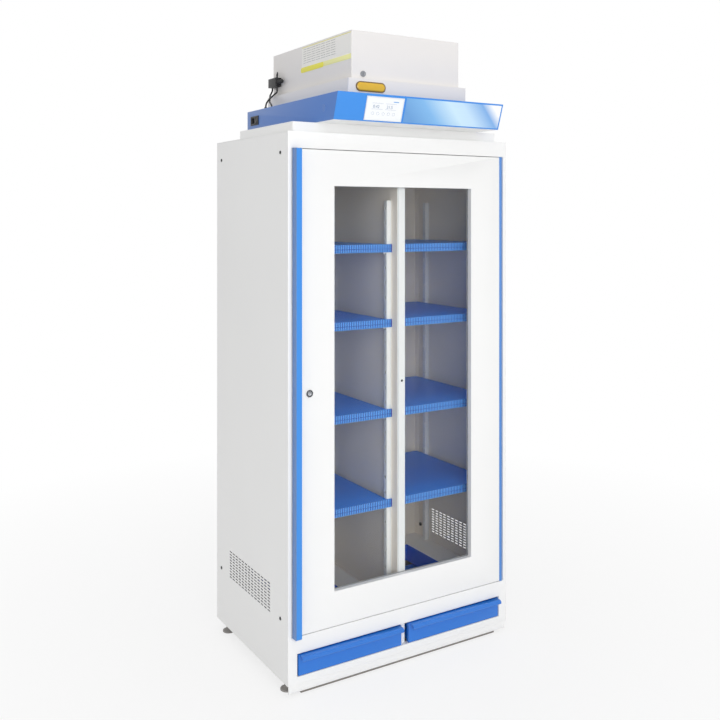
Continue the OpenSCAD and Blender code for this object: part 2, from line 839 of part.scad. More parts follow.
// Drawer tray: an open box with a slide rail along each side
module slide_rail(y0, y1) {
    z0 = runner_t + seat_gap;
    z1 = runner_h - runner_t - seat_gap;
    out = tray_side - runner_t - rail_gap;
    difference() {
        span([-out, y0, z0], [0, y1, z1]);
        span([-out + drawer_t, y0 - cut, z0 + drawer_t], [cut, y1 + cut, z1 - drawer_t]);
    }
}
module drawer_tray() color(deep_blue) {
    y0 = front_pan_d;
    y1 = front_pan_d + tray_d;
    difference() {
        span([-tray_x_far, y0, tray_z0], [-tray_x_near, y1, tray_z1]);
        span([-tray_x_far + drawer_t, y0 + drawer_t, tray_z0 + drawer_t],
             [-tray_x_near - drawer_t, y1 - drawer_t, tray_z1 + cut]);
    }
    translate([-tray_x_far, 0, runner_z0]) slide_rail(runner_front, y1);
    translate([-tray_x_near, 0, runner_z0]) mirror([1, 0, 0]) slide_rail(runner_front, y1);
}
module drawer_left_front() placed() drawer_front();
module drawer_left_tray() placed() drawer_tray();
module drawer_right_front() placed() on_side(1) drawer_front();
module drawer_right_tray() placed() on_side(1) drawer_tray();

// Panel screws: flat heads outside the side panels and on the partition
module panel_screw() {
    cylinder(h = screw_head_h, r = screw_head_r);
    translate([0, 0, -screw_len]) cylinder(h = screw_len, r = screw_shank_r);
}
module panel_screws() placed() color(steel) {
    both_sides() for (y = side_screw_y(), z = side_screw_z())
        translate([-half_w, y, z]) rotate([0, -90, 0]) panel_screw();
    translate([post_x(), partition_front, partition_screw_z()]) rotate([90, 0, 0]) panel_screw();
}

// Raised plenum between the roof and the fan box, open below, with the fan's inlet
module riser_plenum() placed() color(white_paint) difference() {
    soft_span([-riser_w / 2, riser_y, top_z], [riser_w / 2, riser_y + riser_d, fan_z0], bend_r);
    soft_span([-riser_w / 2 + sheet_t, riser_y + sheet_t, top_z + sheet_t],
              [riser_w / 2 - sheet_t, riser_y + riser_d - sheet_t, fan_z0 - sheet_t], bend_r - sheet_t);
    span([-riser_w / 2 + riser_flange, riser_y + riser_flange, top_z - cut],
         [riser_w / 2 - riser_flange, riser_y + riser_d - riser_flange, top_z + sheet_t + cut]);
    translate([fan_cx, fan_cy, fan_z0 - sheet_t - cut]) cylinder(h = sheet_t + 2 * cut, r = inlet_r);
}

// Section of the fan box, drawn in Y and Z; the front face leans outwards
fan_slope = tan(fan_lean);
module fan_section(wall, below) {
    front = -fan_reach_low + wall / cos(fan_lean);
    polygon([
        [front + below * fan_slope, fan_z0 - below], [fan_y1 - wall, fan_z0 - below],
        [fan_y1 - wall, fan_z1 - wall], [front - (fan_h - wall) * fan_slope, fan_z1 - wall]
    ]);
}

// Fan box cover: a shell that is open below, with air outlets under the filter
module fan_box_cover() placed() color(blue_paint) difference() {
    along_x(-half_fan, half_fan) fan_section(0, 0);
    along_x(-half_fan + fan_t, half_fan - fan_t) fan_section(fan_t, cut);
    for (sx = [-1, 1], sy = [-1, 1])
        translate([
            fan_cx + sx * fan_out_x / 2 - fan_out_w / 2,
            fan_cy + fan_out_back + sy * fan_out_y / 2 - fan_out_h / 2,
            fan_z1 - fan_t - cut
        ]) cube([fan_out_w, fan_out_h, fan_t + 2 * cut]);
    span([-half_fan - cut, inlet_y - inlet_w / 2 + inlet_lip, fan_z0 + inlet_z - inlet_h / 2 + inlet_lip],
         [-half_fan + fan_t + cut, inlet_y + inlet_w / 2 - inlet_lip,
          fan_z0 + inlet_z + inlet_h / 2 - inlet_lip]);
    for (lead = [lead_a, lead_b])
        translate([lead_end(lead)[0], lead_end(lead)[1], fan_z1 - fan_t - cut])
            cylinder(h = fan_t + 2 * cut, r = lead_r + gland_bore_gap);
}

// Fan box base: the flat underside, with the fan's inlet
module fan_box_base() placed() color(white_paint) difference() {
    span([-half_fan + fan_t, -fan_reach_low + fan_t / cos(fan_lean), fan_z0],
         [half_fan - fan_t, fan_y1 - fan_t, fan_z0 + fan_t]);
    translate([fan_cx, fan_cy, fan_z0 - cut]) cylinder(h = fan_t + 2 * cut, r = inlet_r);
}

// Inlet ring: a bell mouth that leads the air into the impeller
module ring_section() difference() {
    union() {
        translate([inlet_r - ring_t, 0]) square([ring_flange + ring_t, ring_t]);
        translate([inlet_r - ring_t, 0]) square([ring_t, impeller_lift - ring_gap]);
        translate([inlet_r, 0]) square([2 * ring_t, 2 * ring_t]);
    }
    translate([inlet_r + 2 * ring_t, 2 * ring_t]) circle(r = 2 * ring_t - ring_t / 2);
}
module inlet_ring() placed() color(steel)
    translate([fan_cx, fan_cy, fan_z0 + fan_t]) rotate_extrude() ring_section();

// Fan bracket: a plate on four posts over the impeller
function bracket_z() = fan_z1 - fan_t - bracket_drop;
module fan_bracket() placed() color(steel) translate([fan_cx, fan_cy, 0]) {
    difference() {
        span([-bracket_w / 2, -bracket_w / 2, bracket_z() - bracket_t],
             [bracket_w / 2, bracket_w / 2, bracket_z()]);
        for (a = [0 : 3]) rotate([0, 0, 45 + 90 * a])
            translate([post_reach * bracket_hole_share, 0, bracket_z() - bracket_t - cut])
                cylinder(h = bracket_t + 2 * cut, r = motor_r / 2);
    }
    for (sx = [-1, 1], sy = [-1, 1])
        translate([sx * post_reach, sy * post_reach, fan_z0 + fan_t])
            cylinder(h = bracket_z() - fan_z0 - fan_t - bracket_t / 2, r = post_r);
}

// Fan motor: a flat round motor under the bracket, with its shaft
module fan_motor() placed() color(dark_plastic)
    translate([fan_cx, fan_cy, bracket_z() - bracket_t - motor_h]) {
        cylinder(h = motor_h, r = motor_r);
        translate([0, 0, -shaft_below]) cylinder(h = shaft_below + motor_h / 2, r = shaft_r);
    }

// Impeller: a back plate, backward-curved blades and a shroud that runs over the inlet ring
module blade() intersection() {
    difference() {
        circle(r = impeller_r - impeller_plate);
        circle(r = blade_in_r);
    }
    translate([blade_off, 0]) difference() {
        circle(r = blade_curve_r);
        circle(r = blade_curve_r - blade_t);
        translate([-2 * blade_curve_r, -2 * blade_curve_r]) square([4 * blade_curve_r, 2 * blade_curve_r]);
    }
}
module shroud_section() translate([inlet_r + ring_fit, 0]) {
    square([impeller_r - inlet_r - ring_fit, impeller_plate]);
    translate([0, -shroud_lip]) square([impeller_plate, shroud_lip + impeller_plate]);
}
module fan_impeller() placed() color(grey_paint)
    translate([fan_cx, fan_cy, fan_z0 + fan_t + impeller_lift]) difference() {
        union() {
            translate([0, 0, impeller_h]) cylinder(h = impeller_plate, r = impeller_r);
            translate([0, 0, impeller_h + impeller_plate - impeller_hub_h])
                cylinder(h = impeller_hub_h, r = impeller_hub_r);
            for (k = [0 : blade_count - 1]) rotate([0, 0, k * 360 / blade_count])
                translate([0, 0, impeller_plate / 2]) linear_extrude(impeller_h) blade();
            rotate_extrude() shroud_section();
        }
        translate([0, 0, -cut])
            cylinder(h = impeller_h + impeller_plate + 2 * cut, r = shaft_r + turn_gap);
    }

// Puts a flat shape on the leaning front face: x across, z up the face, -y outwards
module on_face() translate([0, -fan_reach_low, fan_z0]) rotate([fan_lean, 0, 0]) children();

// Display: a rim with a sunk screen, and the overlay strip beside it
module display_panel() placed() color(pale_grey) on_face()
    translate([display_x, 0, face_low_margin]) difference() {
        span([0, -display_t, 0], [display_w, 0, display_h]);
        span([display_rim, -display_t - cut, display_rim],
             [display_w - display_rim, -display_t + display_recess, display_h - display_rim]);
    }
module control_overlay() placed() color(overlay_blue) on_face()
    span([overlay_x, -overlay_t, face_low_margin], [overlay_x + overlay_w, 0, face_low_margin + overlay_h]);

// Power inlet: a flanged body with an appliance socket and a well for the rocker
module power_inlet() placed() color(dark_plastic) translate([-half_fan, inlet_y, fan_z0 + inlet_z]) {
    difference() {
        union() {
            span([-inlet_proud, -inlet_w / 2, -inlet_h / 2], [0, inlet_w / 2, inlet_h / 2]);
            span([-inlet_proud, -inlet_w / 2 + inlet_lip + seat_gap, -inlet_h / 2 + inlet_lip + seat_gap],
                 [inlet_deep, inlet_w / 2 - inlet_lip - seat_gap, inlet_h / 2 - inlet_lip - seat_gap]);
        }
        span([-inlet_proud - cut, socket_shift - socket_w / 2, -socket_h / 2],
             [-inlet_proud + socket_deep, socket_shift + socket_w / 2, socket_h / 2]);
        span([-inlet_proud - cut, rocker_shift - rocker_w / 2, -rocker_h / 2],
             [-inlet_proud + rocker_deep + rocker_half_t, rocker_shift + rocker_w / 2, rocker_h / 2]);
        rod_y(rocker_axis_x(), 0, rocker_shift - rocker_w / 2 - rocker_pin_len,
              rocker_shift + rocker_w / 2 + rocker_pin_len, rocker_pin_r + turn_gap);
    }
    for (k = [-1, 0, 1])
        span([-inlet_proud + socket_deep - contact_len, socket_shift + k * contact_step - contact_w / 2,
              (k == 0 ? contact_h : -contact_h) / 2 - contact_h / 2],
             [-inlet_proud + socket_deep + cut, socket_shift + k * contact_step + contact_w / 2,
              (k == 0 ? contact_h : -contact_h) / 2 + contact_h / 2]);
}
function rocker_axis_x() = -inlet_proud + rocker_half_t;

// Rocker: two sloped faces on a cross pin, at rest pressed at its lower half
module power_rocker() placed() color(dark_plastic)
    translate([-half_fan + rocker_axis_x(), inlet_y + rocker_shift, fan_z0 + inlet_z])
    rotate([0, rocker_tilt, 0]) {
        half = rocker_w / 2 - rocker_gap;
        reach = rocker_h / 2 - 2 * rocker_gap;
        translate([0, half, 0]) rotate([90, 0, 0]) linear_extrude(2 * half) polygon([
            [-rocker_half_t, 0], [-rocker_half_t - rocker_gap, reach], [0, reach], [rocker_half_t / 2, 0],
            [0, -reach], [-rocker_half_t - rocker_gap, -reach]
        ]);
        pin = half + rocker_gap + rocker_pin_len / 2;
        rod_y(0, 0, -pin, pin, rocker_pin_r);
    }

// Filter frame: the lower tray of the filter unit, with a ledge for the filter
// and a keeper for the cover lock's cam
module filter_frame() placed() color(pale_grey) {
    keeper_y = -cover_front + filter_lock_deep + seat_gap - keeper_gap;
    difference() {
        soft_span([-frame_w / 2, -frame_front, frame_z0],
                  [frame_w / 2, body_d - frame_rear, frame_z1], bend_r);
        soft_span([-frame_w / 2 + filter_t, -frame_front + filter_t, frame_z0 - cut],
                  [frame_w / 2 - filter_t, body_d - frame_rear - filter_t, frame_z1 - filter_t],
                  bend_r - filter_t);
        span([-block_x(), block_y0(), frame_z1 - filter_t - cut], [block_x(), block_y1(), frame_z1 + cut]);
    }
    span([filter_lock_x - keeper_half_w, keeper_y - filter_t, frame_z1 - filter_t],
         [filter_lock_x + keeper_half_w, keeper_y, frame_z1 + keeper_h]);
}
function block_x() = cover_w / 2 - block_inset;
function block_y0() = -cover_front + block_front_inset;
function block_y1() = body_d - cover_rear - block_inset;

// Filter gasket: a soft ring between the filter's flange and the ledge
module filter_gasket() placed() color(rubber_grey) difference() {
    span([-block_x() - block_flange, block_y0() - block_flange, frame_z1],
         [block_x() + block_flange, block_y1() + block_flange, frame_z1 + filter_gasket_t]);
    span([-block_x(), block_y0(), frame_z1 - cut], [block_x(), block_y1(), frame_z1 + filter_gasket_t + cut]);
}

// Filter: a pleated block that hangs in the ledge by its flange
module filter_block() placed() color(carbon) {
    z0 = frame_z0 + block_low_gap;
    z1 = cover_z1 - block_top_gap;
    flange_z = frame_z1 + filter_gasket_t;
    pleats = floor((block_y1() - block_y0() - pleat_pitch) / pleat_pitch);
    difference() {
        union() {
            span([-block_x() + seat_gap, block_y0() + seat_gap, z0],
                 [block_x() - seat_gap, block_y1() - seat_gap, z1]);
            span([-block_x() - block_flange, block_y0() - block_flange, flange_z],
                 [block_x() + block_flange, block_y1() + block_flange, flange_z + block_flange_t]);
        }
        for (k = [0 : pleats - 1])
            translate([-block_x() + pleat_w, block_y0() + pleat_w + k * pleat_pitch, z1 - pleat_deep])
                cube([2 * block_x() - 2 * pleat_w, pleat_w, pleat_deep + cut]);
    }
}

// Filter cover: an open-bottomed casing with the clean air outlet in its top
module filter_cover() placed() color(pale_grey) difference() {
    middle = (block_y0() + block_y1()) / 2;
    soft_span([-cover_w / 2, -cover_front, frame_z1], [cover_w / 2, body_d - cover_rear, cover_z1], bend_r);
    soft_span([-cover_w / 2 + filter_t, -cover_front + filter_t, frame_z1 - cut],
              [cover_w / 2 - filter_t, body_d - cover_rear - filter_t, cover_z1 - filter_t],
              bend_r - filter_t);
    for (i = [0 : outlet_cols - 1], j = [0 : outlet_rows - 1])
        translate([
            (i - (outlet_cols - 1) / 2) * (outlet_w + outlet_gap_x) - outlet_w / 2,
            middle + (j - (outlet_rows - 1) / 2) * (outlet_h + outlet_gap_y) - outlet_h / 2,
            cover_z1 - filter_t - cut
        ]) cube([outlet_w, outlet_h, filter_t + 2 * cut]);
    rod_y(filter_lock_x, frame_z1 + filter_lock_z, -cover_front - cut, -cover_front + filter_t + cut,
          filter_lock_body_r + turn_gap);
}

// Cover lock: a headed case, and a plug that turns a small cam behind the wall
module filter_lock_case() placed() color(steel) difference() {
    union() {
        rod_y(filter_lock_x, frame_z1 + filter_lock_z, -cover_front - filter_lock_head_h, -cover_front,
              filter_lock_head_r);
        rod_y(filter_lock_x, frame_z1 + filter_lock_z, -cover_front - filter_lock_head_h / 2,
              -cover_front + filter_lock_deep, filter_lock_body_r);
    }
    rod_y(filter_lock_x, frame_z1 + filter_lock_z, -cover_front - filter_lock_head_h - cut,
          -cover_front + filter_lock_deep + cut, filter_lock_plug_r + turn_gap);
}
module filter_lock_plug() placed() color(steel)
    translate([filter_lock_x, -cover_front, frame_z1 + filter_lock_z]) {
        difference() {
            rod_y(0, 0, -filter_lock_head_h, filter_lock_deep + filter_cam_t + seat_gap,
                  filter_lock_plug_r);
            span([-key_w / 2, -filter_lock_head_h - cut, -key_h / 3],
                 [key_w / 2, -filter_lock_head_h + key_deep, key_h / 3]);
        }
        span([-filter_cam_w / 2, filter_lock_deep + seat_gap, -filter_cam_len - filter_lock_plug_r],
             [filter_cam_w / 2, filter_lock_deep + seat_gap + filter_cam_t, 0]);
    }

// Sensor plug: a block on the cover's wall with a barrel, a stub and a drop tube
function plug_x() = -cover_w / 2;
function plug_base() = frame_z1 + plug_z0;
module sensor_plug() placed() color(dark_plastic) translate([plug_x(), 0, 0]) {
    z0 = plug_base();
    z1 = frame_z1 + plug_z1;
    mid = (z0 + z1) / 2;
    inner_y = plug_y0 + plug_barrel_r;
    span([-plug_out, plug_y0, z0], [0, plug_y1, z1]);
    rod_y(-plug_mid, mid, plug_y0 - plug_barrel_len, inner_y, plug_barrel_r);
    rod_y(-plug_mid, mid, plug_y0 - plug_barrel_len / 2, inner_y, plug_barrel_r + plug_stub_r / 2);
    translate([-plug_mid, plug_y0 + plug_hook_in, z0 - plug_hook_down])
        cylinder(h = z1 + plug_stub_up - z0 + plug_hook_down, r = plug_stub_r);
}

// Leads: tubes swept along their routes, given from the plug's lower rear corner
function lead_point(lead, i) = [plug_x(), plug_y1, plug_base()] + lead[i];
function lead_end(lead) = lead_point(lead, len(lead) - 1);
function unit(v) = v / norm(v);
function lead_way(lead, i) = unit(
    lead_point(lead, min(i + 1, len(lead) - 1)) - lead_point(lead, max(i - 1, 0)));
function ring_at(lead, i) =
    let (way = i == 0 || i == len(lead) - 1 ? [0, 0, -1] : lead_way(lead, i),
         across = unit(cross(way, [0, 1, 0])), over = cross(way, across))
    [for (k = [0 : lead_sides - 1]) let (a = 360 * k / lead_sides)
        lead_point(lead, i) + lead_r * (cos(a) * across + sin(a) * over)];
module lead_tube(lead) {
    n = len(lead);
    s = lead_sides;
    points = [for (i = [0 : n - 1]) each ring_at(lead, i)];
    sides = [for (i = [0 : n - 2], k = [0 : s - 1])
        each [[i * s + k, (i + 1) * s + k, i * s + (k + 1) % s],
              [i * s + (k + 1) % s, (i + 1) * s + k, (i + 1) * s + (k + 1) % s]]];
    ends = [[for (k = [0 : s - 1]) k], [for (k = [0 : s - 1]) n * s - 1 - k]];
    polyhedron(points = points, faces = concat(sides, ends));
}
module sensor_leads() placed() color(dark_plastic) {
    for (lead = [lead_a, lead_b]) {
        lead_tube(lead);
        translate([lead_end(lead)[0], lead_end(lead)[1], fan_z1]) difference() {
            cylinder(h = gland_h, r = gland_r);
            translate([0, 0, -cut]) cylinder(h = gland_h + 2 * cut, r = lead_r + gland_bore_gap);
        }
    }
}

// Hinge pins: one through the sill and one through the header, into the hinge profile
module hinge_pins() placed() color(steel) for (top = [0, 1])
    translate([hinge_x, hinge_y, top ? door_z1 : door_z0]) mirror([0, 0, top ? 1 : 0]) {
        translate([0, 0, -pin_out]) cylinder(h = pin_out + pin_depth, r = pin_r);
        translate([0, 0, -pin_out]) cylinder(h = pin_head_h, r = pin_head_r);
    }

// Door front: a folded pan with the window's reveal and the bead that carries the pane
module door_frame() placed() color(white_paint) difference() {
    union() {
        difference() {
            span([door_x0, 0, door_z_low], [door_x1, door_t, door_z_high]);
            span([door_x0 + door_skin, door_skin, door_z_low + door_skin],
                 [door_x1 - door_skin, door_t + cut, door_z_high - door_skin]);
        }
        span([window_x0 - door_skin, 0, window_z0 - door_skin],
             [window_x1 + door_skin, bead_y, window_z1 + door_skin]);
        span([window_x0 - pane_lap - gasket_wall, bead_y - door_skin, window_z0 - pane_lap - gasket_wall],
             [window_x1 + pane_lap + gasket_wall, bead_y, window_z1 + pane_lap + gasket_wall]);
    }
    span([window_x0, -cut, window_z0], [window_x1, door_t + cut, window_z1]);
    translate([hinge_x, hinge_y, door_z_low - cut])
        cylinder(h = door_z_high - door_z_low + 2 * cut, r = hinge_r + hinge_fit);
    span([hinge_x - hinge_leaf_w - hinge_fit, door_skin, door_z_low - cut],
         [hinge_x, door_skin + hinge_leaf_t + hinge_fit, door_z_high + cut]);
    rod_y(door_x0 + lock_x, lock_z(), -cut, door_skin + cut, lock_body_r + turn_gap);
}
function lock_z() = door_z_low + lock_share * (door_z_high - door_z_low);

// Door back: the inner panel that closes the pan and holds the pane
module door_back() placed() color(white_paint) difference() {
    span([door_x0 + door_skin, door_t - back_skin, door_z_low + door_skin],
         [door_x1 - door_skin, door_t, door_z_high - door_skin]);
    span([window_x0, 0, window_z0], [window_x1, door_t + cut, window_z1]);
    rod_y(door_x0 + lock_x, lock_z(), 0, door_t + cut, lock_body_r + turn_gap);
}

// Pane, and the soft channel round its edge
module door_pane() placed() color(glass_tint)
    span([window_x0 - pane_lap, pane_y0, window_z0 - pane_lap],
         [window_x1 + pane_lap, pane_y1, window_z1 + pane_lap]);
module pane_gasket() placed() color(rubber_grey) difference() {
    span([window_x0 - pane_lap - gasket_wall, bead_y, window_z0 - pane_lap - gasket_wall],
         [window_x1 + pane_lap + gasket_wall, door_t - back_skin, window_z1 + pane_lap + gasket_wall]);
    span([window_x0, 0, window_z0], [window_x1, door_t, window_z1]);
    span([window_x0 - pane_lap, pane_y0, window_z0 - pane_lap],
         [window_x1 + pane_lap, pane_y1, window_z1 + pane_lap]);
}

// Seal round the back of the door, just clear of the stop
module door_seal() placed() color(rubber_grey) difference() {
    span([door_x0 + seal_inset, door_t, door_z_low + seal_inset],
         [door_x1 - seal_inset, rebate_y - seat_gap, door_z_high - seal_inset]);
    span([door_x0 + seal_inset + seal_w, 0, door_z_low + seal_inset + seal_w],
         [door_x1 - seal_inset - seal_w, door_t + seal_t + cut, door_z_high - seal_inset - seal_w]);
}

// Grip: a channel along the door's free edge, open for the fingers towards the
// window, with its outer corners rounded at both ends
module grip_profile() difference() {
    union() {
        translate([door_x0, -grip_d + grip_round]) square([grip_t, grip_d - grip_round]);
        translate([door_x0, -grip_d]) square([grip_w, grip_t]);
        translate([door_x0 + grip_w - grip_t, -grip_d]) square([grip_t, grip_curl]);
        translate([door_x0 + grip_round, -grip_d + grip_round]) circle(r = grip_round);
        translate([door_x0, -grip_t]) square([grip_w, grip_t]);
    }
    difference() {
        translate([door_x0, -grip_d]) square([grip_round, grip_round]);
        translate([door_x0 + grip_round, -grip_d + grip_round]) circle(r = grip_round);
    }
}
module grip_outline(z0, z1) {
    translate([-grip_d + grip_corner, z0]) square([grip_d - grip_corner, z1 - z0]);
    translate([-grip_d, z0 + grip_corner]) square([grip_corner, z1 - z0 - 2 * grip_corner]);
    for (z = [z0 + grip_corner, z1 - grip_corner])
        translate([-grip_d + grip_corner, z]) circle(r = grip_corner);
}
module door_grip() placed() color(blue_paint) intersection() {
    translate([0, 0, door_z0 + grip_end]) linear_extrude(door_z1 - door_z0 - 2 * grip_end) grip_profile();
    along_x(door_x0 - cut, door_x0 + grip_w + cut) grip_outline(door_z0 + grip_end, door_z1 - grip_end);
}

// Hinge profile: a round bar down the door's edge with a leaf let into the pan
module hinge_profile() placed() color(blue_paint) difference() {
    union() {
        translate([hinge_x, hinge_y, door_z0 + grip_end])
            cylinder(h = door_z1 - door_z0 - 2 * grip_end, r = hinge_r);
        span([hinge_x - hinge_leaf_w, door_skin, door_z_low],
             [hinge_x, door_skin + hinge_leaf_t, door_z_high]);
    }
    for (z = [door_z0, door_z1]) translate([hinge_x, hinge_y, z - pin_depth - cut])
        cylinder(h = 2 * (pin_depth + cut), r = pin_r + turn_gap);
}

// Door lock: a headed case through the door, and a plug that turns the cam
module lock_case() placed() color(steel) translate([door_x0 + lock_x, 0, lock_z()]) difference() {
    union() {
        rod_y(0, 0, -lock_head_h, 0, lock_head_r);
        rod_y(0, 0, -lock_head_h / 2, rebate_y, lock_body_r);
    }
    rod_y(0, 0, -lock_head_h - cut, rebate_y + cut, lock_plug_r + turn_gap);
}
module lock_plug() placed() color(steel) translate([door_x0 + lock_x, 0, lock_z()]) difference() {
    rod_y(0, 0, -lock_head_h, stop_y + cam_clear, lock_plug_r);
    span([-key_w / 2, -lock_head_h - cut, -key_h / 2], [key_w / 2, -lock_head_h + key_deep, key_h / 2]);
}
module lock_cam() placed() color(steel) translate([door_x0 + lock_x, stop_y + cam_clear, lock_z()]) {
    rod_y(0, 0, 0, cam_t, cam_w / 2);
    span([-cam_w / 2, 0, -cam_len], [cam_w / 2, cam_t, 0]);
}

front_frame();
side_panel_left();
side_panel_right();
back_panel();
roof_panel();
base_plate();
floor_panel();
floor_chutes();
drawer_divider();
plinth_skirt();
base_rails();
foot_pads();
foot_studs();
centre_partition();
shelf_uprights();
shelf_clips();
shelf_left_1();
shelf_left_2();
shelf_left_3();
shelf_left_4();
shelf_right_1();
shelf_right_2();
shelf_right_3();
shelf_right_4();
drawer_runners();
panel_screws();
riser_plenum();
fan_box_base();
fan_box_cover();
display_panel();
control_overlay();
power_inlet();
power_rocker();
fan_bracket();
fan_motor();
fan_impeller();
inlet_ring();
filter_frame();
filter_gasket();
filter_block();
filter_cover();
filter_lock_case();
filter_lock_plug();
sensor_plug();
sensor_leads();
hinge_pins();
door_frame();
door_back();
door_pane();
pane_gasket();
door_seal();
door_grip();
hinge_profile();
lock_case();
lock_plug();
lock_cam();
drawer_left_front();
drawer_left_tray();
drawer_right_front();
drawer_right_tray();
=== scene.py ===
"""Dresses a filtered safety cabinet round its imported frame: finishes, trim and a studio."""

import json
import math

import bmesh
import bpy
from bpy.props import FloatProperty, FloatVectorProperty, PointerProperty
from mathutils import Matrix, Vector

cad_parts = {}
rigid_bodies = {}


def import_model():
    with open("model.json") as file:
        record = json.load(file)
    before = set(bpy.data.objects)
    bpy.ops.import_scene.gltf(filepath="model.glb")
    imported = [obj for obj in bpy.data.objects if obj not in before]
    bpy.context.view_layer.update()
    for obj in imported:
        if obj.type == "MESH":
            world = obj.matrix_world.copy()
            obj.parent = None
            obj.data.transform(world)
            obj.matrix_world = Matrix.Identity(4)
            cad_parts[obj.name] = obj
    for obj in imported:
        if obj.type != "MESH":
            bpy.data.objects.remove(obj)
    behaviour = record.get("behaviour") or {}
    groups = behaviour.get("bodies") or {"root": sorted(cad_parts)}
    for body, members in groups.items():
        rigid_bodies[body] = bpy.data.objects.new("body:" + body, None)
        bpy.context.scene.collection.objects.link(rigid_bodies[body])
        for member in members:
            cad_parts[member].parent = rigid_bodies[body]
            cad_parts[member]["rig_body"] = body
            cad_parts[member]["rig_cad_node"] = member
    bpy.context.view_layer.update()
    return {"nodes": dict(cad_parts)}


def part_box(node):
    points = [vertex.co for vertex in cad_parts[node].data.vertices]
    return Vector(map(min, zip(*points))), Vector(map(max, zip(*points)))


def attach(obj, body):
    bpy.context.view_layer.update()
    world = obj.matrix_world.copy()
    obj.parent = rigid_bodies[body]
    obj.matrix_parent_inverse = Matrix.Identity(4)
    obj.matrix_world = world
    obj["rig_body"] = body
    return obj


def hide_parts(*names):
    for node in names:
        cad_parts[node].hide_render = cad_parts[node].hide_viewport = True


bl_info = {
    "name": "Filtered Safety Cabinet",
    "version": (1, 0, 0),
    "blender": (4, 5, 0),
    "location": "View3D > Sidebar > Cabinet",
    "description": "Finishes, trim and studio of a filtered safety cabinet",
    "category": "Object",
}

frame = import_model()
NODES = frame["nodes"]
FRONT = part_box("front_frame")[0].y
# Foot and lean of the fan box's front, whose sheet stands 2.1 mm before its base
FACE_FOOT = Vector((0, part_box("fan_box_base")[0].y - 0.0021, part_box("fan_box_base")[0].z))
FACE_LEAN = math.atan2(25, 77)
# Low and high corners, as y and z, of a box round the slots of either side grille
GRILLE = ((FRONT + 0.100, 0.190), (FRONT + 0.430, 0.300))
# Depths inside the side panels' outer face between which a slot's cut wall lies, and takes painted shade
SHADED_SLOT_WALL = (0.0017, 0.0003)
# Depth inside a sheet at which the coat of its outer side ends
IN_SHEET = 0.001
# Where the coat of the bays begins, from front to back
BAY_FRONT = FRONT + 0.0282
# How far the badge stands before the filter frame
BADGE_DEPTH = 0.0026
# Front and back of the thin prints on the screen, before the fan box's leaning front
PRINT_FRONT, PRINT_BACK = -0.00252, -0.0023
# The materials by their names in FINISH_OF_NODE, once they are made
FINISHES = {}


def linear(red, green, blue):
    """A colour as it shows on screen, turned into the linear values that a shader takes."""
    return [c / 12.92 if c <= 0.04045 else ((c + 0.055) / 1.055) ** 2.4 for c in (red, green, blue)]


def grey(shown):
    return linear(shown, shown, shown)


def colour_property(name, description, shown):
    return FloatVectorProperty(
        name=name, description=description, subtype="COLOR", size=3, min=0, max=1, default=linear(*shown)
    )


def length_property(name, description, metres):
    return FloatProperty(
        name=name, description=description, default=metres, min=0.0001, subtype="DISTANCE", unit="LENGTH"
    )


# ---------------------------------------------------------------- settings


class CabinetSizes(bpy.types.PropertyGroup):
    """Sizes of the rounding, trim and labels that are added to the frame."""

    fold_radius: length_property("Fold radius", "Outer radius of the folds in sheet metal", 0.0016)
    edge_radius: length_property("Edge radius", "Rounding of cut sheet edges", 0.0005)
    badge_length: length_property("Badge length", "Length of the bare badge on the filter frame", 0.103)
    badge_height: length_property("Badge height", "Height of the bare badge", 0.030)
    card_length: length_property("Card length", "Length of the bare card on the filter cover", 0.308)
    card_height: length_property("Card height", "Height of the bare card", 0.075)
    cap_radius: length_property("Cap radius", "Radius of the cap in the fan box's unused hole", 0.011)
    lead_radius: length_property("Lead radius", "Radius of the sensor leads", 0.0028)


class CabinetColours(bpy.types.PropertyGroup):
    """Colours of the cabinet's finishes."""

    casing: colour_property("Casing", "Powder coat of the casing and the door", (0.955, 0.955, 0.952))
    # painted light: a warmer tone for the faces in the bays, which offsets the blue light bounced off the
    # shelves and sets how lit the bays look
    inside: colour_property("Inside", "Coat of the walls inside", (0.965, 0.93, 0.885))
    # painted light: lighter and warmer than the casing, so that the floor in the shaded bays looks lit
    floor: colour_property("Floor", "Coat of the floor over the drawers", (0.985, 0.965, 0.93))
    filter_case: colour_property("Filter case", "Coat of the filter unit", (0.905, 0.893, 0.884))
    trim: colour_property("Trim", "Blue of the grip's and the fan box's front", (0.225, 0.555, 0.895))
    # painted shade: the fan box's sides are darker and greyer than its front because of how light falls on
    # them
    trim_side_shade: colour_property("Trim side shade", "Duller blue of the fan box's sides", (0.29, 0.475, 0.765))
    shelf: colour_property("Shelf", "Blue of the shelves", (0.13, 0.55, 0.97))
    drawer: colour_property("Drawer", "Blue of the drawers", (0.150, 0.465, 0.835))
    rail: colour_property("Foot rail", "Coat of the foot rails", (0.50, 0.48, 0.46))
    badge: colour_property("Badge", "Yellow of the badge", (0.90, 0.71, 0.11))
    label: colour_property("Label", "Yellow of the label strip", (0.93, 0.90, 0.30))


def sizes():
    return bpy.context.scene.cabinet_sizes


def colours():
    return bpy.context.scene.cabinet_colours


# ---------------------------------------------------------------- node groups


def make_group(name, inputs, outputs):
    """A new shader group with named sockets: the group, what it is given and what it hands on."""
    group = bpy.data.node_groups.new(name, "ShaderNodeTree")
    for label, kind, value in inputs:
        socket = group.interface.new_socket(name=label, in_out="INPUT", socket_type="NodeSocket" + kind)
        socket.default_value = value
    for label, kind in outputs:
        group.interface.new_socket(name=label, in_out="OUTPUT", socket_type="NodeSocket" + kind)
    return group, group.nodes.new("NodeGroupInput").outputs, group.nodes.new("NodeGroupOutput").inputs


def node(tree, kind, values=(), links=(), **settings):
    """Adds a node; values and links pair a socket with a value, or with the output that feeds it."""
    made = tree.nodes.new("ShaderNode" + kind)
    for key, value in settings.items():
        setattr(made, key, value)
    for socket, value in dict(values).items():
        made.inputs[socket].default_value = value
    for socket, source in dict(links).items():
        tree.links.new(source, made.inputs[socket])
    return made


